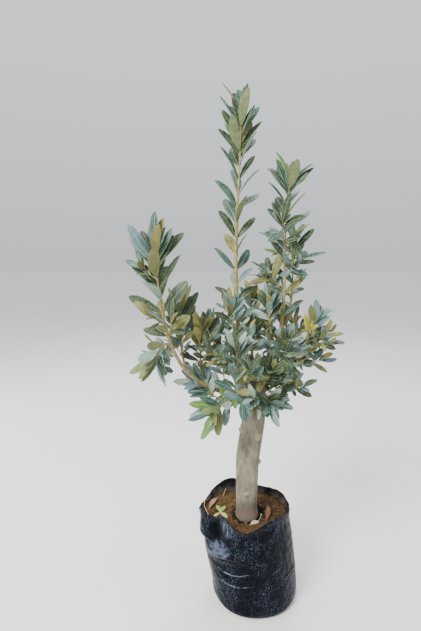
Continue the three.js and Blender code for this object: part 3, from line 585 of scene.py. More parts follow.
class Skin:
    """Points, faces and each face's finish, gathered in millimetres for one joined piece."""

    def __init__(self):
        self.points = []
        self.faces = []
        self.finishes = []

    def loft(self, rings, finish=lambda segment, strip: 0, tip=None):
        """Closed skin over rings of equal count, ending in a cap or a point."""
        start = len(self.points)
        count = len(rings[0])
        for ring in rings:
            self.points.extend(ring)
        for segment in range(len(rings) - 1):
            low = start + segment * count
            for k in range(count):
                following = (k + 1) % count
                corners = (low + k, low + following, low + count + following, low + count + k)
                self.face(corners, finish(segment, k))
        self.face(tuple(start + k for k in reversed(range(count))), finish(0, 0))
        last = start + (len(rings) - 1) * count
        if tip is None:
            self.face(tuple(last + k for k in range(count)), finish(len(rings) - 2, 0))
            return
        self.points.append(tip)
        for k in range(count):
            self.face((last + k, last + (k + 1) % count, len(self.points) - 1), finish(len(rings) - 1, k))

    def face(self, corners, finish):
        self.faces.append(corners)
        self.finishes.append(finish)


def finished(piece, materials, replaced, smooth_angle=50):
    """Shades a piece, gives it its materials and ties it to the frame."""
    piece.data.materials.clear()
    for material in materials:
        piece.data.materials.append(material)
    select_only(piece)
    bpy.ops.object.shade_smooth_by_angle(angle=math.radians(smooth_angle))
    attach(piece, "root")
    if replaced:
        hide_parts(*replaced)
    return piece


def placed(name, data):
    """A new object in the scene."""
    thing = bpy.data.objects.new(name, data)
    bpy.context.scene.collection.objects.link(thing)
    return thing


def select_only(piece):
    bpy.ops.object.select_all(action="DESELECT")
    piece.select_set(True)
    bpy.context.view_layer.objects.active = piece


def skin_piece(name, skin, materials, replaced=(), smooth_angle=50):
    mesh = bpy.data.meshes.new(name)
    mesh.from_pydata([Vector(point) * MM for point in skin.points], [], skin.faces)
    for material in materials:
        mesh.materials.append(material)
    mesh.polygons.foreach_set("material_index", skin.finishes)
    shell = bmesh.new()
    shell.from_mesh(mesh)
    bmesh.ops.recalc_face_normals(shell, faces=shell.faces)
    shell.to_mesh(mesh)
    shell.free()
    kept = [polygon.material_index for polygon in mesh.polygons]
    piece = placed(name, mesh)
    finished(piece, materials, replaced, smooth_angle)
    mesh.polygons.foreach_set("material_index", kept)
    return piece


def blank_tube(name, sides, ring_cuts, open_top):
    """A plain upright tube of radius 1 and height 1, cut into rings."""
    bpy.ops.object.select_all(action="DESELECT")
    bpy.ops.mesh.primitive_cylinder_add(vertices=sides, radius=1, depth=1, location=(0, 0, 0.5))
    tube = bpy.context.object
    tube.name = name
    bpy.ops.object.transform_apply(location=True)
    mesh = tube.data

    def stands_up(edge):
        low, high = [mesh.vertices[k].co.z for k in edge.vertices]
        return abs(low - high) > 1e-5

    def faces_up(polygon):
        return polygon.normal.z > 0.9

    for cuts in ring_cuts:
        edit_chosen(mesh, "edges", stands_up, lambda: bpy.ops.mesh.subdivide(number_cuts=cuts))
    if open_top:
        edit_chosen(mesh, "polygons", faces_up, lambda: bpy.ops.mesh.delete(type="FACE"))
    return tube


def edit_chosen(mesh, kind, chosen, edit):
    """Runs an edit on the chosen ones of the active mesh's edges or polygons."""
    bpy.ops.object.mode_set(mode="EDIT")
    bpy.ops.mesh.select_mode(type={"edges": "EDGE", "polygons": "FACE"}[kind])
    bpy.ops.mesh.select_all(action="DESELECT")
    bpy.ops.object.mode_set(mode="OBJECT")
    for part in getattr(mesh, kind):
        part.select = chosen(part)
    bpy.ops.object.mode_set(mode="EDIT")
    edit()
    bpy.ops.object.mode_set(mode="OBJECT")


def shape_tube(tube, point_at):
    """Moves each vertex of a blank tube to its place for its angle in degrees and its level from 0 to 1."""
    for vertex in tube.data.vertices:
        angle = math.degrees(math.atan2(vertex.co.y, vertex.co.x)) % 360
        vertex.co = point_at(angle, vertex.co.z) * MM
    tube.data.update()


def thicken(piece, thickness):
    """Gives a film its thickness on its inner side."""
    select_only(piece)
    bpy.ops.object.modifier_add(type="SOLIDIFY")
    wall = piece.modifiers[-1]
    wall.thickness = thickness * MM
    wall.offset = -1
    bpy.ops.object.modifier_apply(modifier=wall.name)


# Bag

def bag_shift(height):
    """How far the bag's middle has moved at a height, by its lean."""
    return BAG["lean"] * (height / BAG["rim"]) ** BAG["lean_curve"]


def rim_height(angle):
    return BAG["rim"] + sum(w["rise"] * bell(apart(angle, w["at"]), w["spread"]) for w in RIM_WAVES)


def fold_depth(fold, angle, level):
    share = bell(apart(angle, fold["at"]), fold["spread"])
    return fold["depth"] * share * smooth(level, fold["level"] - 0.06, fold["level"] + 0.1)


def flap_depth(angle, level, height):
    depth = FLAP["depth"] - FLAP["fade"] * max(0, height - FLAP["full"] * SOIL["top"])
    across = bell(apart(angle, FLAP["at"]), FLAP["spread"])
    return depth * across * smooth(level, FLAP["level"], FLAP["full"])


def rim_folds():
    """Small upright folds of the loose film, dealt round the rim."""
    draw = seeded(SEEDS["folds"])
    folds = []
    for k in range(RIM_FOLDS["count"]):
        fold = {"at": 360 * (k + draw()) / RIM_FOLDS["count"]}
        for measure in ("spread", "depth", "level"):
            fold[measure] = lerp(*RIM_FOLDS[measure], draw())
        folds.append(fold)
    return folds


FOLDS = rim_folds()


def film_detail(angle, level, height):
    """How far the film stands out from the bag's plain form."""
    out = 0
    for crease in CREASES:
        across = apart(angle, crease["at"]) / crease["half"]
        line = crease["height"] + crease["ends"] * across * across
        out += crease["depth"] * bell(across, 1) * bell(height - line, crease["width"])
    for fold in FOLDS:
        out += fold_depth(fold, angle, level)
    turn = math.radians(angle)
    spot = Vector((math.cos(turn) * 5.2, math.sin(turn) * 4.8, height / 17))
    ridge = 1 - abs(noise.noise(spot))
    out += FILM["crinkle"] * (ridge ** 6 - 0.5) * smooth(height, 2, 14)
    return out + 0.35 * noise.noise(spot * 2.7)


def film_point(angle, level, inset=0):
    """The film's outer surface at an angle and a level: 0 the ground, 1 the soil's surface, 2 the rim."""
    height = lerp(SOIL["top"], rim_height(angle), level - 1) if level > 1 else level * SOIL["top"]
    low = min(level / BAG["foot_level"], 1)
    foot = BAG["foot_inset"] * (1 - math.sqrt(1 - (1 - low) ** 2))
    slack = 1 + 0.012 * math.sin(math.radians(3 * angle + 40))
    slack += 0.01 * math.sin(math.radians(5 * angle + 1.2 * height))
    folds = flap_depth(angle, level, height) - fold_depth(PLEAT, angle, level)
    swelling = 0
    for swell in SWELLS:
        across = bell(apart(angle, swell["at"]), swell["spread"])
        swelling += swell["depth"] * across * bell(level - swell["level"], swell["tall"])
    flare = BAG["flare"] * max(0, level - 1)
    grow = flare + swelling + folds - foot - inset + film_detail(angle, level, height)
    turn = math.radians(angle)
    spot = Vector((math.cos(turn) * 7, math.sin(turn) * 7, 3))
    ragged = FILM["ragged"] * noise.noise(spot) * max(0, level - 1)
    return Vector((
        bag_shift(height) + (BAG["half_width"] * slack + grow) * math.cos(turn),
        (BAG["half_depth"] * slack + grow) * math.sin(turn),
        height + ragged,
    ))


def make_bag():
    bag = blank_tube("bag_film", FILM["sides"], FILM["ring_cuts"], open_top=True)
    firm, level = FILM["firm_share"], FILM["firm_level"]

    def point_at(angle, share):
        if share < firm:
            return film_point(angle, level * share / firm)
        return film_point(angle, lerp(level, 2, (share - firm) / (1 - firm)))

    shape_tube(bag, point_at)
    thicken(bag, FILM["thick"])
    finished(bag, [film_finish()], ["nursery_bag"], 60)
    bag.data.materials.append(inner_film_finish())
    for polygon in bag.data.polygons:
        middle, way = polygon.center, polygon.normal
        shift = bag_shift(max(0, middle.z) / MM) * MM
        inwards = (middle.x - shift) * way.x + middle.y * way.y < 0
        polygon.material_index = 1 if inwards else 0
    return bag


# Soil

def soil_point(angle, share):
    """The soil's surface from its middle at share 0 to the film at share 1."""
    edge = film_point(angle, 1, SOIL["edge_inset"])
    foot = TRUNK["foot"]
    point = Vector((foot.x, foot.y, SOIL["top"])).lerp(edge, share)
    loose = smooth(share, 0.28, 0.6) * (1 - smooth(share, 0.93, 1))
    lump = math.sin(point.x * 0.13 + 1.1) * math.cos(point.y * 0.11)
    lump += 0.5 * math.sin(point.x * 0.31 - point.y * 0.23)
    clods = noise.fractal(point / 8, 1.0, 2.0, 4)
    grit = noise.noise(point / 1.7)
    height = SOIL["top"] + loose * SOIL["lump"] * lump + SOIL["clod"] * clods * smooth(share, 0.2, 0.3)
    height += SOIL["grit"] * grit - SOIL["edge_drop"] * smooth(share, 0.95, 1)
    beyond = (Vector((point.x, point.y, 0)) - Vector((foot.x, foot.y, 0))).length - TRUNK_LINE[0][3]
    beyond += 1.6 * noise.noise(point / 4.5)
    for gap in FOOT_GAPS:
        depth = gap["depth"] * bell(apart(angle, gap["at"]), gap["spread"])
        height -= depth * (1 - smooth(beyond, gap["reach"] * 0.45, gap["reach"] * 0.85))
    return Vector((point.x, point.y, height))


def make_soil():
    wall = SOIL["wall_rings"] / 100
    bed = blank_tube("soil_bed", FILM["sides"], (99,), open_top=False)

    def point_at(angle, share):
        if share >= wall:
            return soil_point(angle, lerp(1, 0.12, (share - wall) / (1 - wall)))
        level = lerp(0.08, 0.97, share / wall)
        return film_point(angle, level, SOIL["wall_inset"])

    shape_tube(bed, point_at)
    for vertex in bed.data.vertices:
        vertex.co.z = max(vertex.co.z, SOIL["floor"] * MM)
    return finished(bed, [soil_finish()], ["potting_soil"])


def make_crumbs():
    """Loose crumbs of earth on the bed."""
    draw = seeded(SEEDS["crumbs"])
    crumbs = Skin()
    for _ in range(CRUMBS["count"]):
        angle = 360 * draw()
        share = 0.34 + 0.62 * draw() ** 0.7
        size = lerp(*CRUMBS["size"], draw() ** 3)
        middle = soil_point(angle, share) + UP * size * 0.3
        rings = []
        for tilt in CRUMBS["rings"]:
            ring = []
            for side in range(CRUMBS["sides"]):
                reach = size * (0.7 + 0.5 * draw())
                way = bearing(360 / CRUMBS["sides"] * side + 20 * draw(), tilt)
                way.z *= CRUMBS["flat"]
                ring.append(middle + way * reach)
            rings.append(ring)
        crumbs.loft(rings)
    lit = matte_finish("loose_earth", tone(74, 54, 36), tone(112, 84, 58), 6, 0.95)
    return skin_piece("soil_crumbs", crumbs, [lit], (), 30)


# Trunk

def trunk_row(rise):
    """The trunk's centre and radius at a rise, on smooth curves through its rows."""
    k = next((k for k in range(1, len(TRUNK_LINE)) if TRUNK_LINE[k][0] >= rise), len(TRUNK_LINE) - 1)
    low, high = TRUNK_LINE[k - 1], TRUNK_LINE[k]
    share = (rise - low[0]) / (high[0] - low[0])
    before = TRUNK_LINE[max(0, k - 2)]
    after = TRUNK_LINE[min(len(TRUNK_LINE) - 1, k + 1)]
    values = []
    for part in (1, 2, 3):
        slope_low = (high[part] - before[part]) / (high[0] - before[0]) * (high[0] - low[0])
        slope_high = (after[part] - low[part]) / (after[0] - low[0]) * (high[0] - low[0])
        values.append(hermite(low[part], high[part], slope_low, slope_high, share))
    return TRUNK["foot"] + Vector((values[0], values[1], rise)), values[2]


def hermite(low, high, slope_low, slope_high, share):
    square, cube = share**2, share**3
    start = (2 * cube - 3 * square + 1) * low + (cube - 2 * square + share) * slope_low
    return start + (3 * square - 2 * cube) * high + (cube - square) * slope_high


def plain_trunk_row(rise):
    """The source's own straight lines between the rows, which seat the shoots."""
    k = max(1, next(k for k in range(len(TRUNK_LINE)) if TRUNK_LINE[k][0] >= rise))
    low, high = TRUNK_LINE[k - 1], TRUNK_LINE[k]
    share = (rise - low[0]) / (high[0] - low[0])
    values = [lerp(low[part], high[part], share) for part in (1, 2, 3)]
    return TRUNK["foot"] + Vector((values[0], values[1], rise)), values[2]


def knot_centre(knot):
    centre, radius = plain_trunk_row(knot["rise"])
    return centre + bearing(knot["facing"], 0) * (radius + knot["proud"] * 0.7)


def bark_pores():
    """The rise, facing and size of each pore."""
    draw = seeded(SEEDS["pores"])
    pores = []
    for _ in range(PORES["count"]):
        pores.append((lerp(*PORES["rise"], draw()), 360 * draw(), lerp(*PORES["size"], draw())))
    return pores


def make_trunk():
    trunk = blank_tube("trunk_bark", BARK["sides"], BARK["ring_cuts"], open_top=False)
    pores = bark_pores()
    top_rise = TRUNK_LINE[-1][0]

    def relief(angle, rise, radius):
        turn = math.radians(angle)
        spot = Vector((math.cos(turn), math.sin(turn), rise / radius * 0.16))
        out = BARK["ridge"] * noise.fractal(spot * 3.6, 0.8, 2.0, 4)
        out += BARK["swell"] * noise.noise(Vector((spot.x * 1.2, spot.y * 1.2, rise / 42)))
        out += BARK["grain"] * noise.noise(Vector((spot.x * 26, spot.y * 26, rise / 6)))
        for knot in KNOTS:
            across = math.radians(apart(angle, knot["facing"])) * radius
            away = math.hypot(across, (rise - knot["rise"]) * 0.85) / knot["size"]
            if away < 3:
                out += knot["proud"] * (1.6 * bell(away, 0.6) - 0.55 * bell(away, 0.2))
                out += 0.4 * bell(away - 1.15, 0.3) - 0.4 * bell(away - 1.7, 0.4)
        for pore_rise, facing, size in pores:
            across = math.radians(apart(angle, facing)) * radius
            if abs(rise - pore_rise) < 3 and abs(across) < 4:
                out += PORES["proud"] * bell(across, size * 1.5) * bell(rise - pore_rise, size * 0.8)
        return out

    def point_at(angle, share):
        side_share = BARK["side_share"]
        if share < side_share:
            rise = lerp(-TRUNK["buried"], top_rise, share / side_share)
        else:
            rise = top_rise
        centre, radius = trunk_row(max(rise, 0))
        uneven = 1 + 0.03 * math.sin(math.radians(2 * angle + rise))
        uneven += 0.015 * math.sin(math.radians(5 * angle))
        flare = 0.9 * bell(max(rise, 0), 7)
        wide = radius * uneven + relief(angle, rise, radius) + flare
        if share >= side_share:
            inward = (share - side_share) / (1 - side_share)
            wide *= 1 - 0.96 * inward
            rough = noise.fractal(Vector((wide * 0.4, angle / 40, 5)), 1, 2, 3)
            cut = 2 * smooth(inward, 0, 0.5) + 0.5 * rough
            return centre + bearing(angle, 0) * wide + UP * cut
        return centre + bearing(angle, 0) * wide + UP * min(rise, 0)

    shape_tube(trunk, point_at)
    knot_places = [(knot_centre(knot), knot["size"] * 1.5) for knot in KNOTS]
    finished(trunk, [bark_finish(knot_places)], ["trunk"])
    trunk.data.materials.append(cut_wood_finish())
    cut_level = (TRUNK["foot"].z + top_rise - 1) * MM
    for polygon in trunk.data.polygons:
        polygon.material_index = 1 if polygon.center.z > cut_level else 0
    return trunk


# Growth, by the source's rule

def bearing(heading, slope):
    turn, climb = math.radians(heading), math.radians(slope)
    return Vector((math.cos(turn) * math.cos(climb), math.sin(turn) * math.cos(climb), math.sin(climb)))


class Line:
    """A limb's centre line in the upright plane through its root and tip, read by distance along it."""

    def __init__(self, root, tip, leave, arrive, bow):
        heading = math.degrees(math.atan2(tip.y - root.y, tip.x - root.x))
        handle = bow * (tip - root).length
        ends = (root, root + bearing(heading, leave) * handle, tip - bearing(heading, arrive) * handle, tip)
        self.points = [self.on_curve(ends, k / CURVE_STEPS) for k in range(CURVE_STEPS + 1)]
        self.travelled = [0.0]
        for k in range(CURVE_STEPS):
            self.travelled.append(self.travelled[k] + (self.points[k + 1] - self.points[k]).length)
        self.length = self.travelled[-1]
        self.side = Vector((-math.sin(math.radians(heading)), math.cos(math.radians(heading)), 0))

    @staticmethod
    def on_curve(ends, share):
        rest = 1 - share
        weights = (rest**3, 3 * rest**2 * share, 3 * rest * share**2, share**3)
        return sum((end * weight for end, weight in zip(ends, weights)), Vector())

    def at(self, distance):
        k = next((k for k in range(1, CURVE_STEPS) if self.travelled[k] > distance), CURVE_STEPS)
        low, high = self.travelled[k - 1], self.travelled[k]
        return self.points[k - 1].lerp(self.points[k], (distance - low) / (high - low))

    def along(self, distance):
        return (self.at(min(self.length, distance + 2)) - self.at(max(0, distance - 2))).normalized()

    def outward(self, distance, angle):
        turn = math.radians(angle)
        return self.side * math.cos(turn) + self.along(distance).cross(self.side) * math.sin(turn)


class Room:
    """The space that a closed shape takes, for telling whether two shapes meet."""

    def __init__(self, points, faces):
        self.low = [min(point[k] for point in points) for k in range(3)]
        self.high = [max(point[k] for point in points) for k in range(3)]
        self.tree = BVHTree.FromPolygons(points, faces)

    def meets(self, other):
        for k in range(3):
            if self.low[k] > other.high[k] or other.low[k] > self.high[k]:
                return False
        return bool(self.tree.overlap(other.tree))


def tube_room(rings):
    tube = Skin()
    tube.loft(rings)
    return Room(tube.points, tube.faces)


def limb_room(line, start, end, radius_at):
    rings = []
    for k in range(LIMB["steps"] + 1):
        distance = lerp(start, end, k / LIMB["steps"])
        wide = radius_at(distance) + ROOM["limb"]
        around = [line.outward(distance, 360 * s / LIMB["sides"]) for s in range(LIMB["sides"])]
        rings.append([line.at(distance) + way * wide for way in around])
    return tube_room(rings)


def trunk_room():
    rings = []
    for rise, right, back, radius in TRUNK_LINE:
        centre = TRUNK["foot"] + Vector((right, back, rise))
        around = [360 * s / TRUNK["sides"] for s in range(TRUNK["sides"])]
        rings.append([centre + bearing(angle, 0) * (radius * 1.03 + ROOM["limb"]) for angle in around])
    return tube_room(rings)


def leaf_point(leaf, along):
    turned = leaf["bend"] * along
    chord = leaf["length"] / leaf["bend"]
    ahead = leaf["way"] * chord * math.sin(turned)
    return leaf["root"] + ahead - leaf["face"] * chord * (1 - math.cos(turned))


def leaf_face(leaf, along):
    turned = leaf["bend"] * along
    return leaf["face"] * math.cos(turned) + leaf["way"] * math.sin(turned)


def leaf_room(leaf, start, room=ROOM):
    def across(where, side):
        along, half = where
        out = leaf["side"] * side * (half * leaf["width"] / 2 + room["side"])
        return leaf_point(leaf, along) + out + leaf_face(leaf, along) * room["face"]

    low, high = LEAF["low"], LEAF["high"]
    points = [leaf_point(leaf, start), across(low, 1), across(high, 1)]
    points += [leaf_point(leaf, 1.03), across(high, -1), across(low, -1)]
    return Room(points, BLADE_FACES)


def turn_to_light(way, face):
    """How far a leaf turns round its length so that its upper face looks more to the light."""
    lit = (LEAF["light"] - way * way.dot(LEAF["light"])).normalized()
    return math.radians(LEAF["lean"]) * way.dot(face.cross(lit))


def turn_flat(way, face):
    """How far a leaf turns so that its nearer side, upper or under, lies almost flat to the light."""
    lit = (LEAF["light"] - way * way.dot(LEAF["light"])).normalized()
    apart_from = math.atan2(way.dot(face.cross(lit)), face.dot(lit))
    if abs(apart_from) > math.radians(TOP_LEAVES["under_from"]):
        apart_from -= math.copysign(math.pi, apart_from)
    return TOP_LEAVES["flat"] * apart_from


def leaf_try(stem, place, share, angle, size, draw, attempt):
    """One try at a leaf: where it points and how it is turned vary a little round the rule."""
    loose = 1 + 0.55 * attempt

    def vary():
        return (2 * draw() - 1) * loose

    line = stem["line"]
    spread = math.radians(lerp(*stem["open"], share) + LEAF["stray"]["spread"] * vary())
    along = line.along(place)
    out = line.outward(place, angle + LEAF["stray"]["round"] * vary())
    roll = math.radians(LEAF["roll"] * (2 * draw() - 1))
    bend = math.radians(lerp(*LEAF["bend"], draw()))
    length = size * (1 + 0.1 * vary() / loose)
    way = along * math.cos(spread) + out * math.sin(spread)
    face = along * math.sin(spread) - out * math.cos(spread)
    face.rotate(Quaternion(way, turn_to_light(way, face) + roll))
    return {
        "root": line.at(place), "way": way, "face": face, "side": way.cross(face), "length": length,
        "width": length * stem["broad"] * lerp(*LEAF["breadth"], share), "bend": bend,
    }


def clashes(stem, whole, blade, taken):
    """A leaf or twig keeps clear of other shoots from its root up, and of its own shoot's past its root."""
    for other in taken:
        if other["owner"] != stem["owner"]:
            if whole.meets(other["whole"]):
                return True
        elif other["stem"] != stem["stem"] and blade.meets(other["blade"]):
            return True
    return False


def clear_leaf(stem, place, share, angle, size, draw, limbs, blades):
    """The first try at a leaf that meets nothing, or nothing."""
    for attempt in range(LEAF["tries"]):
        leaf = leaf_try(stem, place, share, angle, size, draw, attempt)
        whole = leaf_room(leaf, LEAF["clear_others"])
        blade = leaf_room(leaf, LEAF["clear_own"])
        if clashes(stem, whole, blade, limbs) or clashes(stem, whole, blade, blades):
            continue
        blades.append({"owner": stem["owner"], "stem": None, "whole": whole, "blade": blade})
        return leaf
    return None


def grow_leaves(stem, limbs, blades):
    """Leaves in opposite pairs up a stem, each at right angles to the pair below."""
    leaves = []
    stem["nodes"] = []
    for pair in range(stem["pairs"]):
        share = pair / (stem["pairs"] - 1)
        place = lerp(stem["start"], stem["line"].length - 1, 1 - (1 - share) ** stem["closer"])
        size = stem["leaf"] * lerp(LEAF["small"], 1, math.sin(math.pi / 2 * min(1, share / 0.55)))
        stem["nodes"].append(place)
        for half in (0, 1):
            draw = seeded(stem["seed"] * 100 + pair * 2 + half)
            angle = stem["turn"] + 90 * pair + 180 * half
            leaf = clear_leaf(stem, place, share, angle, size, draw, limbs, blades)
            if leaf:
                leaves.append(leaf)
    return leaves


def lay_out_shoots():
    shoots = {}
    for index, row in enumerate(SHOOTS):
        tip = HEAD + bearing(row["heading"], 0) * row["reach"] + UP * row["rise"]
        parent = None
        if isinstance(row["springs"], tuple):
            parent = shoots[row["springs"][0]]
            root = parent["line"].at(row["springs"][1] * parent["line"].length)
        else:
            centre, radius = plain_trunk_row(row["springs"] - TRUNK["foot"].z)
            root = centre + bearing(row["heading"], 0) * TRUNK["seat_depth"] * radius
        line = Line(root, tip, row["leave"], row["arrive"], row["bow"])
        grown = dict(row, index=index, line=line, parent=parent, meet=row["bare"] * line.length)
        grown["base"] = LIMB["base"] + LIMB["per_length"] * line.length
        shoots[row["name"]] = grown
    return shoots


def shoot_radius(grown):
    return lambda distance: lerp(grown["base"], LIMB["tip"], distance / grown["line"].length)


def side_stem(grown, line, place, out, angle, length, rule):
    """A twig that leaves a stem's line at a place and turns upwards, by a rule."""
    way = (line.along(place) * math.cos(angle) + out * math.sin(angle)).normalized()
    root = line.at(place)
    tip = root + way * length + UP * rule["rise"] * length
    slope = math.degrees(math.asin(way.z))
    return {
        "line": Line(root, tip, slope, min(STEEPEST, slope + rule["curl"]), TWIG_BOW),
        "owner": grown["name"], "mix": grown["mix"], "open": grown["open"], "closer": CLOSER,
        "leaf": grown["leaf"] * rule["leaf"], "broad": grown["broad"] * rule["broad"],
        "radius": rule["radius"],
    }


def twigs_of(grown):
    """Side twigs on a stem's lower half."""
    twigs = []
    for k in range(grown["twigs"]):
        draw = seeded(SEEDS["twigs"] + grown["index"] * 10 + k)
        leafy = grown["line"].length - grown["meet"]
        place = grown["meet"] + leafy * (TWIG["lowest"] + TWIG["span"] * (k + draw()) / grown["twigs"])
        facing = grown["turn"] + 45 + TWIG["turn"] * k + TWIG["stray"] * (2 * draw() - 1)
        out = grown["line"].outward(place, facing)
        length = TWIG["length"] * (0.8 + 0.5 * draw())
        twig = side_stem(grown, grown["line"], place, out, math.radians(TWIG["angle"]), length, TWIG)
        twig["stem"] = k + 1
        twig["start"] = TWIG["bare"] * twig["line"].length
        twig["pairs"] = TWIG["pairs"] + (1 if draw() > 0.5 else 0)
        twig["turn"] = 360 * draw()
        twig["seed"] = 40 + grown["index"] * 4 + k
        twigs.append(twig)
    return twigs


def kept_twig(twig, limbs):
    line, radius = twig["line"], twig["radius"]
    whole = limb_room(line, 0.05 * line.length, line.length, lambda distance: radius)
    blade = limb_room(line, 0.3 * line.length, line.length, lambda distance: radius)
    if clashes(twig, whole, blade, limbs):
        return False
    limbs.append({"owner": twig["owner"], "stem": twig["stem"], "whole": whole, "blade": blade})
    return True


def sprigs_of(grown, stems, limbs):
    """Short finer twigs from the axils of a shoot's lower leaves, where there is room."""
    draw = seeded(SEEDS["sprigs"] + grown["index"])
    sprigs = []
    for k in range(grown["fine"]):
        stem = stems[int(draw() * len(stems))]
        place = stem["nodes"][int(draw() * SPRIG["highest"] * len(stem["nodes"]))]
        out = stem["line"].outward(place, 360 * draw())
        angle = math.radians(SPRIG["angle"] + SPRIG["stray"] * (2 * draw() - 1))
        length = lerp(*SPRIG["length"], draw())
        sprig = side_stem(grown, stem["line"], place, out, angle, length, SPRIG)
        sprig["stem"] = 20 + k
        sprig["start"] = SPRIG["bare"] * length
        sprig["pairs"] = SPRIG["pairs"]
        sprig["turn"] = 360 * draw()
        sprig["seed"] = 400 + grown["index"] * 12 + k
        if kept_twig(sprig, limbs):
            sprigs.append(sprig)
    return sprigs


def crown_leaves(stem, seed, blades):
    """Upright leaves that close a stem's tip, larger on a shoot's own stem."""
    draw = seeded(seed)
    leaves = []
    line = stem["line"]
    tip = line.length - 0.5
    rule = TOP_LEAVES if stem["stem"] == 0 else CROWN_LEAVES
    if line.length > TALL_FROM:
        rule = TALL_LEAVES
    for k in range(rule["tries"]):
        if len(leaves) == rule["count"]:
            break
        below = 1 - len(leaves) / rule["count"]
        place = tip - rule["down"] * below
        along = line.along(place)
        spread = math.radians(lerp(*rule["angle"], below) + 12 * (draw() - 0.5))
        out = line.outward(place, stem["turn"] + 97 * k + 30 * draw())
        way = (along * math.cos(spread) + out * math.sin(spread)).normalized()
        face = (along * math.sin(spread) - out * math.cos(spread)).normalized()
        face.rotate(Quaternion(way, turn_flat(way, face)))
        length = stem["leaf"] * lerp(*rule["share"], below) * (0.85 + 0.3 * draw())
        leaf = {
            "root": line.at(place), "way": way, "face": face, "side": way.cross(face), "length": length,
            "width": length * rule["broad"], "bend": math.radians(18),
        }
        whole = leaf_room(leaf, 0.25, TIGHT_ROOM)
        if not clashes(stem, whole, whole, blades):
            leaves.append(leaf)
            blades.append({"owner": stem["owner"], "stem": None, "whole": whole, "blade": whole})
    return leaves


def grow():
    """All shoots with their twigs, and every leaf with its shoot's mix of colours."""
    shoots = lay_out_shoots()
    limbs = [{"owner": "trunk", "stem": None, "whole": trunk_room(), "blade": None}]
    for grown in shoots.values():
        radius_at = shoot_radius(grown)
        bough = limb_room(grown["line"], 0, grown["meet"], radius_at)
        limbs.append({"owner": grown["name"] + "_bough", "stem": None, "whole": bough, "blade": None})
        stem = limb_room(grown["line"], grown["meet"], grown["line"].length, radius_at)
        limbs.append({"owner": grown["name"], "stem": 0, "whole": stem, "blade": stem})
    for grown in shoots.values():
        grown["side_twigs"] = [twig for twig in twigs_of(grown) if kept_twig(twig, limbs)]
    blades = []
    leaves = []
    for grown in shoots.values():
        main = dict(grown, owner=grown["name"], stem=0, start=grown["meet"] + 7, seed=grown["index"])
        grown["stems"] = [main, *grown["side_twigs"]]
        for stem in grown["stems"]:
            leaves += [(leaf, stem["mix"]) for leaf in grow_leaves(stem, limbs, blades)]
        grown["nodes"] = main["nodes"]
    for grown in shoots.values():
        grown["sprigs"] = sprigs_of(grown, grown["stems"], limbs)
        for sprig in grown["sprigs"]:
            leaves += [(leaf, sprig["mix"]) for leaf in grow_leaves(sprig, limbs, blades)]
    for grown in shoots.values():
        for k, stem in enumerate(grown["stems"] + grown["sprigs"]):
            seed = SEEDS["crowns"] + grown["index"] * 40 + k
            leaves += [(leaf, stem["mix"]) for leaf in crown_leaves(stem, seed, blades)]
    return shoots, leaves


# Leaves

def blade_half(along, fullness):
    """Half a leaf's width at a share of its length, as a share of half the full width."""
    if along <= SHAPE["stalk"]:
        return 0
    share = (along - SHAPE["stalk"]) / (1 - SHAPE["stalk"])
    return math.sin(math.pi * share ** SHAPE["skew"]) ** fullness


def add_leaf(skin, leaf, draw, rib_wide=1.0, fullness=SHAPE["fullness"]):
    """A thin closed leaf: its two blades fold up from a grooved rib that stands out below."""
    fold = lerp(*SHAPE["fold"], draw())
    twist = math.radians(SHAPE["twist"] * (2 * draw() - 1))
    wave = 0.05 * leaf["length"] * (2 * draw() - 1)
    rings = []
    for along in STATIONS:
        centre = leaf_point(leaf, along) + leaf["side"] * wave * math.sin(math.pi * along)
        face = leaf_face(leaf, along)
        side = leaf["side"].copy()
        way = leaf["way"] * math.cos(leaf["bend"] * along) - leaf["face"] * math.sin(leaf["bend"] * along)
        turn = Quaternion(way, twist * along)
        face.rotate(turn)
        side.rotate(turn)
        half = max(SHAPE["stalk_half"], blade_half(along, fullness) * leaf["width"] / 2)
        rib = min(half * 0.6, SHAPE["rib"] * leaf["width"] * rib_wide * (1 - 0.7 * along) * 0.5 + 0.16)
        open_share = smooth(along, 0.05, 0.3)
        edge_up = fold * half * open_share
        inner = SHAPE["margin"] * half
        mid_up = SHAPE["margin"] * edge_up + SHAPE["camber"] * half * open_share
        groove = -SHAPE["groove"] * open_share
        under = -(0.34 + SHAPE["rib_under"] * (1 - along))
        cut = ((-half, edge_up), (-inner, mid_up), (-rib, groove), (rib, groove), (inner, mid_up))
        cut += ((half, edge_up), (0, under))
        rings.append([centre + side * x + face * z for x, z in cut])

    def finish(segment, strip):
        if segment == 0 or strip == 2:
            return 1
        if strip in (0, 4):
            return 3
        return 2 if strip in (5, 6) else 0

    skin.loft(rings, finish, leaf_point(leaf, 1))


def dealt(mix, draw):
    """One colour's name, drawn by the mix's shares."""
    left = draw() * sum(mix.values())
    for name, share in mix.items():
        left -= share
        if left <= 0:
            return name
    return name


def margin_tone(blade, rib):
    """A leaf's pale edge, between its blade's tone and its rib's."""
    return tone(*[lerp(first, second, 0.5) for first, second in zip(blade, rib)])


def stepped_tone(colour, step):
    """A colour made a step lighter, or darker where the step is below zero."""
    return tone(*[part + step for part in colour])


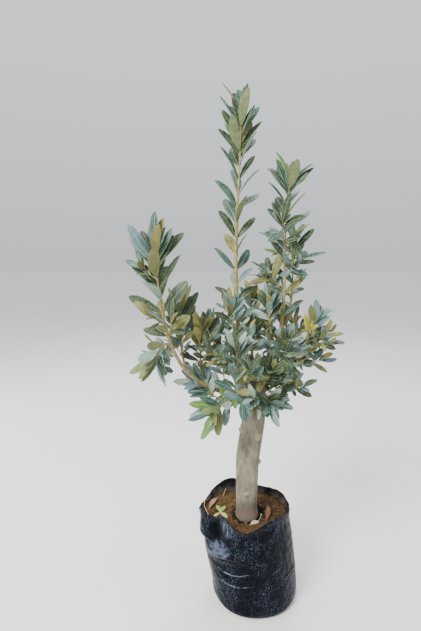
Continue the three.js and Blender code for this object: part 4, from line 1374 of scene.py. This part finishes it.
def make_leaves(leaves, foliage_nodes):
    skins = {name: Skin() for name in LEAF_TONES}
    draw = seeded(SEEDS["colours"])
    for leaf, mix in leaves:
        colour = dealt(MIXES[mix], draw)
        middle = leaf_point(leaf, 0.5)
        for across, up, reach in YELLOWED:
            if math.hypot(middle.x - across, middle.z - up) < reach and middle.y < 10:
                colour = "yellow"
        add_leaf(skins[colour], leaf, draw)
    for name, (plain, variant, rib, under) in LEAF_TONES.items():
        margins = [margin_tone(blade, rib) for blade in (plain, variant)]
        materials = [
            blade_finish("leaf_" + name, tone(*plain), tone(*variant)),
            matte_finish("rib_" + name, tone(*rib), stepped_tone(rib, -16), 4, 0.55),
            matte_finish("underleaf_" + name, tone(*under), stepped_tone(under, 14), 9, 0.7, 0.05),
            matte_finish("margin_" + name, *margins, 5, 0.6, 0.05),
        ]
        skin_piece("leaves_" + name, skins[name], materials, foliage_nodes)


# Boughs, stems and twigs

def add_tube(skin, line, start, end, radius_at, nodes, grid, seed):
    """A round limb with small swellings at its leaf pairs and uneven bark."""
    sides, step = grid
    count = max(3, int((end - start) / step))
    rings = []
    for k in range(count + 1):
        distance = lerp(start, end, k / count)
        centre = line.at(distance)
        near = [distance - node for node in nodes if abs(distance - node) < 5]
        swelling = 1 + sum(0.32 * bell(away, 1.6) for away in near)
        ring = []
        for side in range(sides):
            angle = 360 * side / sides
            way = line.outward(distance, angle)
            spot = centre / 5 + Vector((seed, angle / 60, 0))
            rough = 1 + 0.1 * noise.noise(spot) + 0.05 * noise.noise(centre / 1.3 + way)
            ring.append(centre + way * radius_at(distance) * swelling * rough)
        rings.append(ring)
    skin.loft(rings)


def make_wood(shoots):
    boughs, stems, twigs = Skin(), Skin(), Skin()
    for grown in shoots.values():
        line, meet, seed = grown["line"], grown["meet"], grown["index"]
        plain = shoot_radius(grown)
        sunk = WOOD["sunk_in_trunk"] if grown["parent"] is None else WOOD["sunk"]

        def bough_radius(distance):
            collar = WOOD["collar"] * bell(max(0, distance - sunk), WOOD["collar_length"])
            return plain(distance) * (WOOD["thicker"] + collar)

        def stem_radius(distance):
            return plain(distance) * lerp(WOOD["thicker"], WOOD["tip"], smooth(distance, meet, line.length))

        add_tube(boughs, line, 0, meet, bough_radius, [], WOOD_GRID["bough"], seed)
        add_tube(stems, line, meet, line.length, stem_radius, grown["nodes"], WOOD_GRID["stem"], seed)
        for stem in grown["side_twigs"] + grown["sprigs"]:
            thick, length = stem["radius"], stem["line"].length

            def twig_radius(distance):
                collar = WOOD["twig_collar"] * bell(distance, WOOD["twig_collar_length"])
                return thick * lerp(*WOOD["twig_taper"], distance / length) * (1 + collar)

            add_tube(twigs, stem["line"], 0, length, twig_radius, stem["nodes"], WOOD_GRID["twig"], seed)
    old = shoot_finish("bough_bark", tone(112, 103, 76), tone(146, 134, 102), tone(122, 112, 74))
    young = shoot_finish("stem_bark", tone(128, 116, 70), tone(162, 148, 98), tone(134, 130, 74))
    green = shoot_finish("twig_bark", tone(120, 116, 70), tone(150, 144, 94), tone(112, 122, 66))
    bough_nodes = ["bough_" + name for name in shoots]
    foliage_nodes = ["foliage_" + name for name in shoots]
    skin_piece("bough_wood", boughs, [old], bough_nodes)
    skin_piece("leafy_stems", stems, [young], foliage_nodes)
    skin_piece("side_twigs", twigs, [green], foliage_nodes)


# Bits lying on the soil

def lying_blades(bit):
    root = Vector((bit["x"], bit["y"], SOIL["top"] + 1.2 + LYING["lift"]))
    for heading in bit["arms"]:
        way = bearing(heading, LYING["slope"])
        face = bearing(heading, LYING["slope"] + 90)
        yield {
            "root": root - way * LYING["back"], "way": way, "face": face, "side": way.cross(face),
            "length": bit["length"], "width": bit["length"] * bit["broad"],
            "bend": math.radians(LYING["bend"]),
        }


def make_litter():
    dry = {
        "fallen_leaf_rim": ("dry_rosy", (118, 86, 70), (156, 122, 102)),
        "fallen_leaf_foot": ("dry_grey", (148, 132, 116), (184, 168, 150)),
        "fallen_leaf_right": ("dry_brown", (74, 52, 36), (112, 80, 56)),
    }
    for node, (name, first, second) in dry.items():
        skin = Skin()
        draw = seeded(len(node))
        for leaf in lying_blades(FALLEN[node]):
            add_leaf(skin, leaf, draw, 1.0, 0.9)
        blade = matte_finish(name, tone(*first), tone(*second), 2.5, 0.8)
        rib = matte_finish(name + "_rib", tone(*second), tone(*first), 2.5, 0.8)
        skin_piece(node + "_dry", skin, [blade, rib, blade, blade], [node])
    cream, leafy = Skin(), Skin()
    draw = seeded(SEEDS["fallen_sprig"])
    for k, leaf in enumerate(lying_blades(FALLEN["fallen_sprig"])):
        add_leaf(cream if k < 2 else leafy, leaf, draw, 2.0, 1.1)
    pale = matte_finish("sprig_cream", tone(198, 194, 138), tone(156, 170, 86), 4, 0.6)
    fresh = matte_finish("sprig_green", tone(74, 112, 32), tone(116, 148, 56), 4, 0.6)
    skin_piece("sprig_cream_leaflets", cream, [pale, fresh, pale, pale], ["fallen_sprig"])
    skin_piece("sprig_green_leaflets", leafy, [fresh, pale, fresh, pale], ["fallen_sprig"])
    straw = Skin()
    for points in STRAWS:
        add_straw(straw, [Vector(point) for point in points])
    dull = matte_finish("straw", tone(200, 180, 148), tone(160, 132, 100), 3, 0.8)
    skin_piece("straws", straw, [dull])


def add_straw(skin, points):
    """A thin round stalk through its points, smoothed between them."""
    smoothed = []
    for k in range(len(points) - 1):
        before, after = points[max(0, k - 1)], points[min(len(points) - 1, k + 2)]
        for step in range(6):
            share = step / 6
            slopes = ((points[k + 1] - before) / 2, (after - points[k]) / 2)
            smoothed.append(hermite(points[k], points[k + 1], *slopes, share))
    smoothed.append(points[-1])
    rings = []
    for k, centre in enumerate(smoothed):
        way = (smoothed[min(k + 1, len(smoothed) - 1)] - smoothed[max(0, k - 1)]).normalized()
        side = way.cross(UP).normalized()
        other = way.cross(side)
        wide = 0.6 * (1 - 0.4 * k / len(smoothed))
        rings.append([
            centre + (side * math.cos(turn) + other * math.sin(turn)) * wide
            for turn in (math.radians(60 * s) for s in range(6))
        ])
    skin.loft(rings)


# Camera, floor and light

def add_camera():
    data = bpy.data.cameras.new("camera")
    data.lens = CAMERA["focal"] / CAMERA["height"] * data.sensor_width
    camera = placed("camera", data)
    camera.location = CAMERA["place"]
    camera.rotation_euler = (math.radians(90 - CAMERA["pitch"]), 0, 0)
    bpy.context.scene.camera = camera


def add_floor():
    bpy.ops.object.select_all(action="DESELECT")
    bpy.ops.mesh.primitive_plane_add(size=FLOOR["size"], location=(0, 0, -FLOOR["drop"]))
    floor = bpy.context.object
    floor.name = "pale_floor"
    ground = Finish("pale_ground", roughness=0.85)
    ground.set("Base Color", ground.mix(ground.noise(400, 3), tone(232, 231, 229), tone(238, 237, 235)))
    floor.data.materials.append(ground.material)


def add_light(name, place, aim, size, watts, colour):
    data = bpy.data.lights.new(name, "AREA")
    data.size = size
    data.energy = watts
    data.color = colour
    light = placed(name, data)
    light.location = place
    light.rotation_euler = (Vector(aim) - Vector(place)).to_track_quat("-Z", "Y").to_euler()


def add_lights():
    world = bpy.data.worlds.new("soft_room")
    world.use_nodes = True
    nodes, links = world.node_tree.nodes, world.node_tree.links
    parts = nodes.new("ShaderNodeSeparateXYZ")
    links.new(nodes.new("ShaderNodeTexCoord").outputs["Generated"], parts.inputs[0])
    rise = nodes.new("ShaderNodeMapRange")
    links.new(parts.outputs["Z"], rise.inputs["Value"])
    rise.inputs["From Max"].default_value = BACKDROP["high_from"]
    rise.inputs["To Min"].default_value = BACKDROP["low"]
    rise.inputs["To Max"].default_value = BACKDROP["high"]
    background = nodes["Background"]
    background.inputs["Color"].default_value = BACKDROP["colour"]
    links.new(rise.outputs[0], background.inputs["Strength"])
    bpy.context.scene.world = world
    for light in LIGHTS:
        add_light(*light)


add_camera()
add_floor()
add_lights()
make_bag()
make_soil()
make_crumbs()
make_trunk()
all_shoots, all_leaves = grow()
make_wood(all_shoots)
make_leaves(all_leaves, ["foliage_" + name for name in all_shoots])
make_litter()
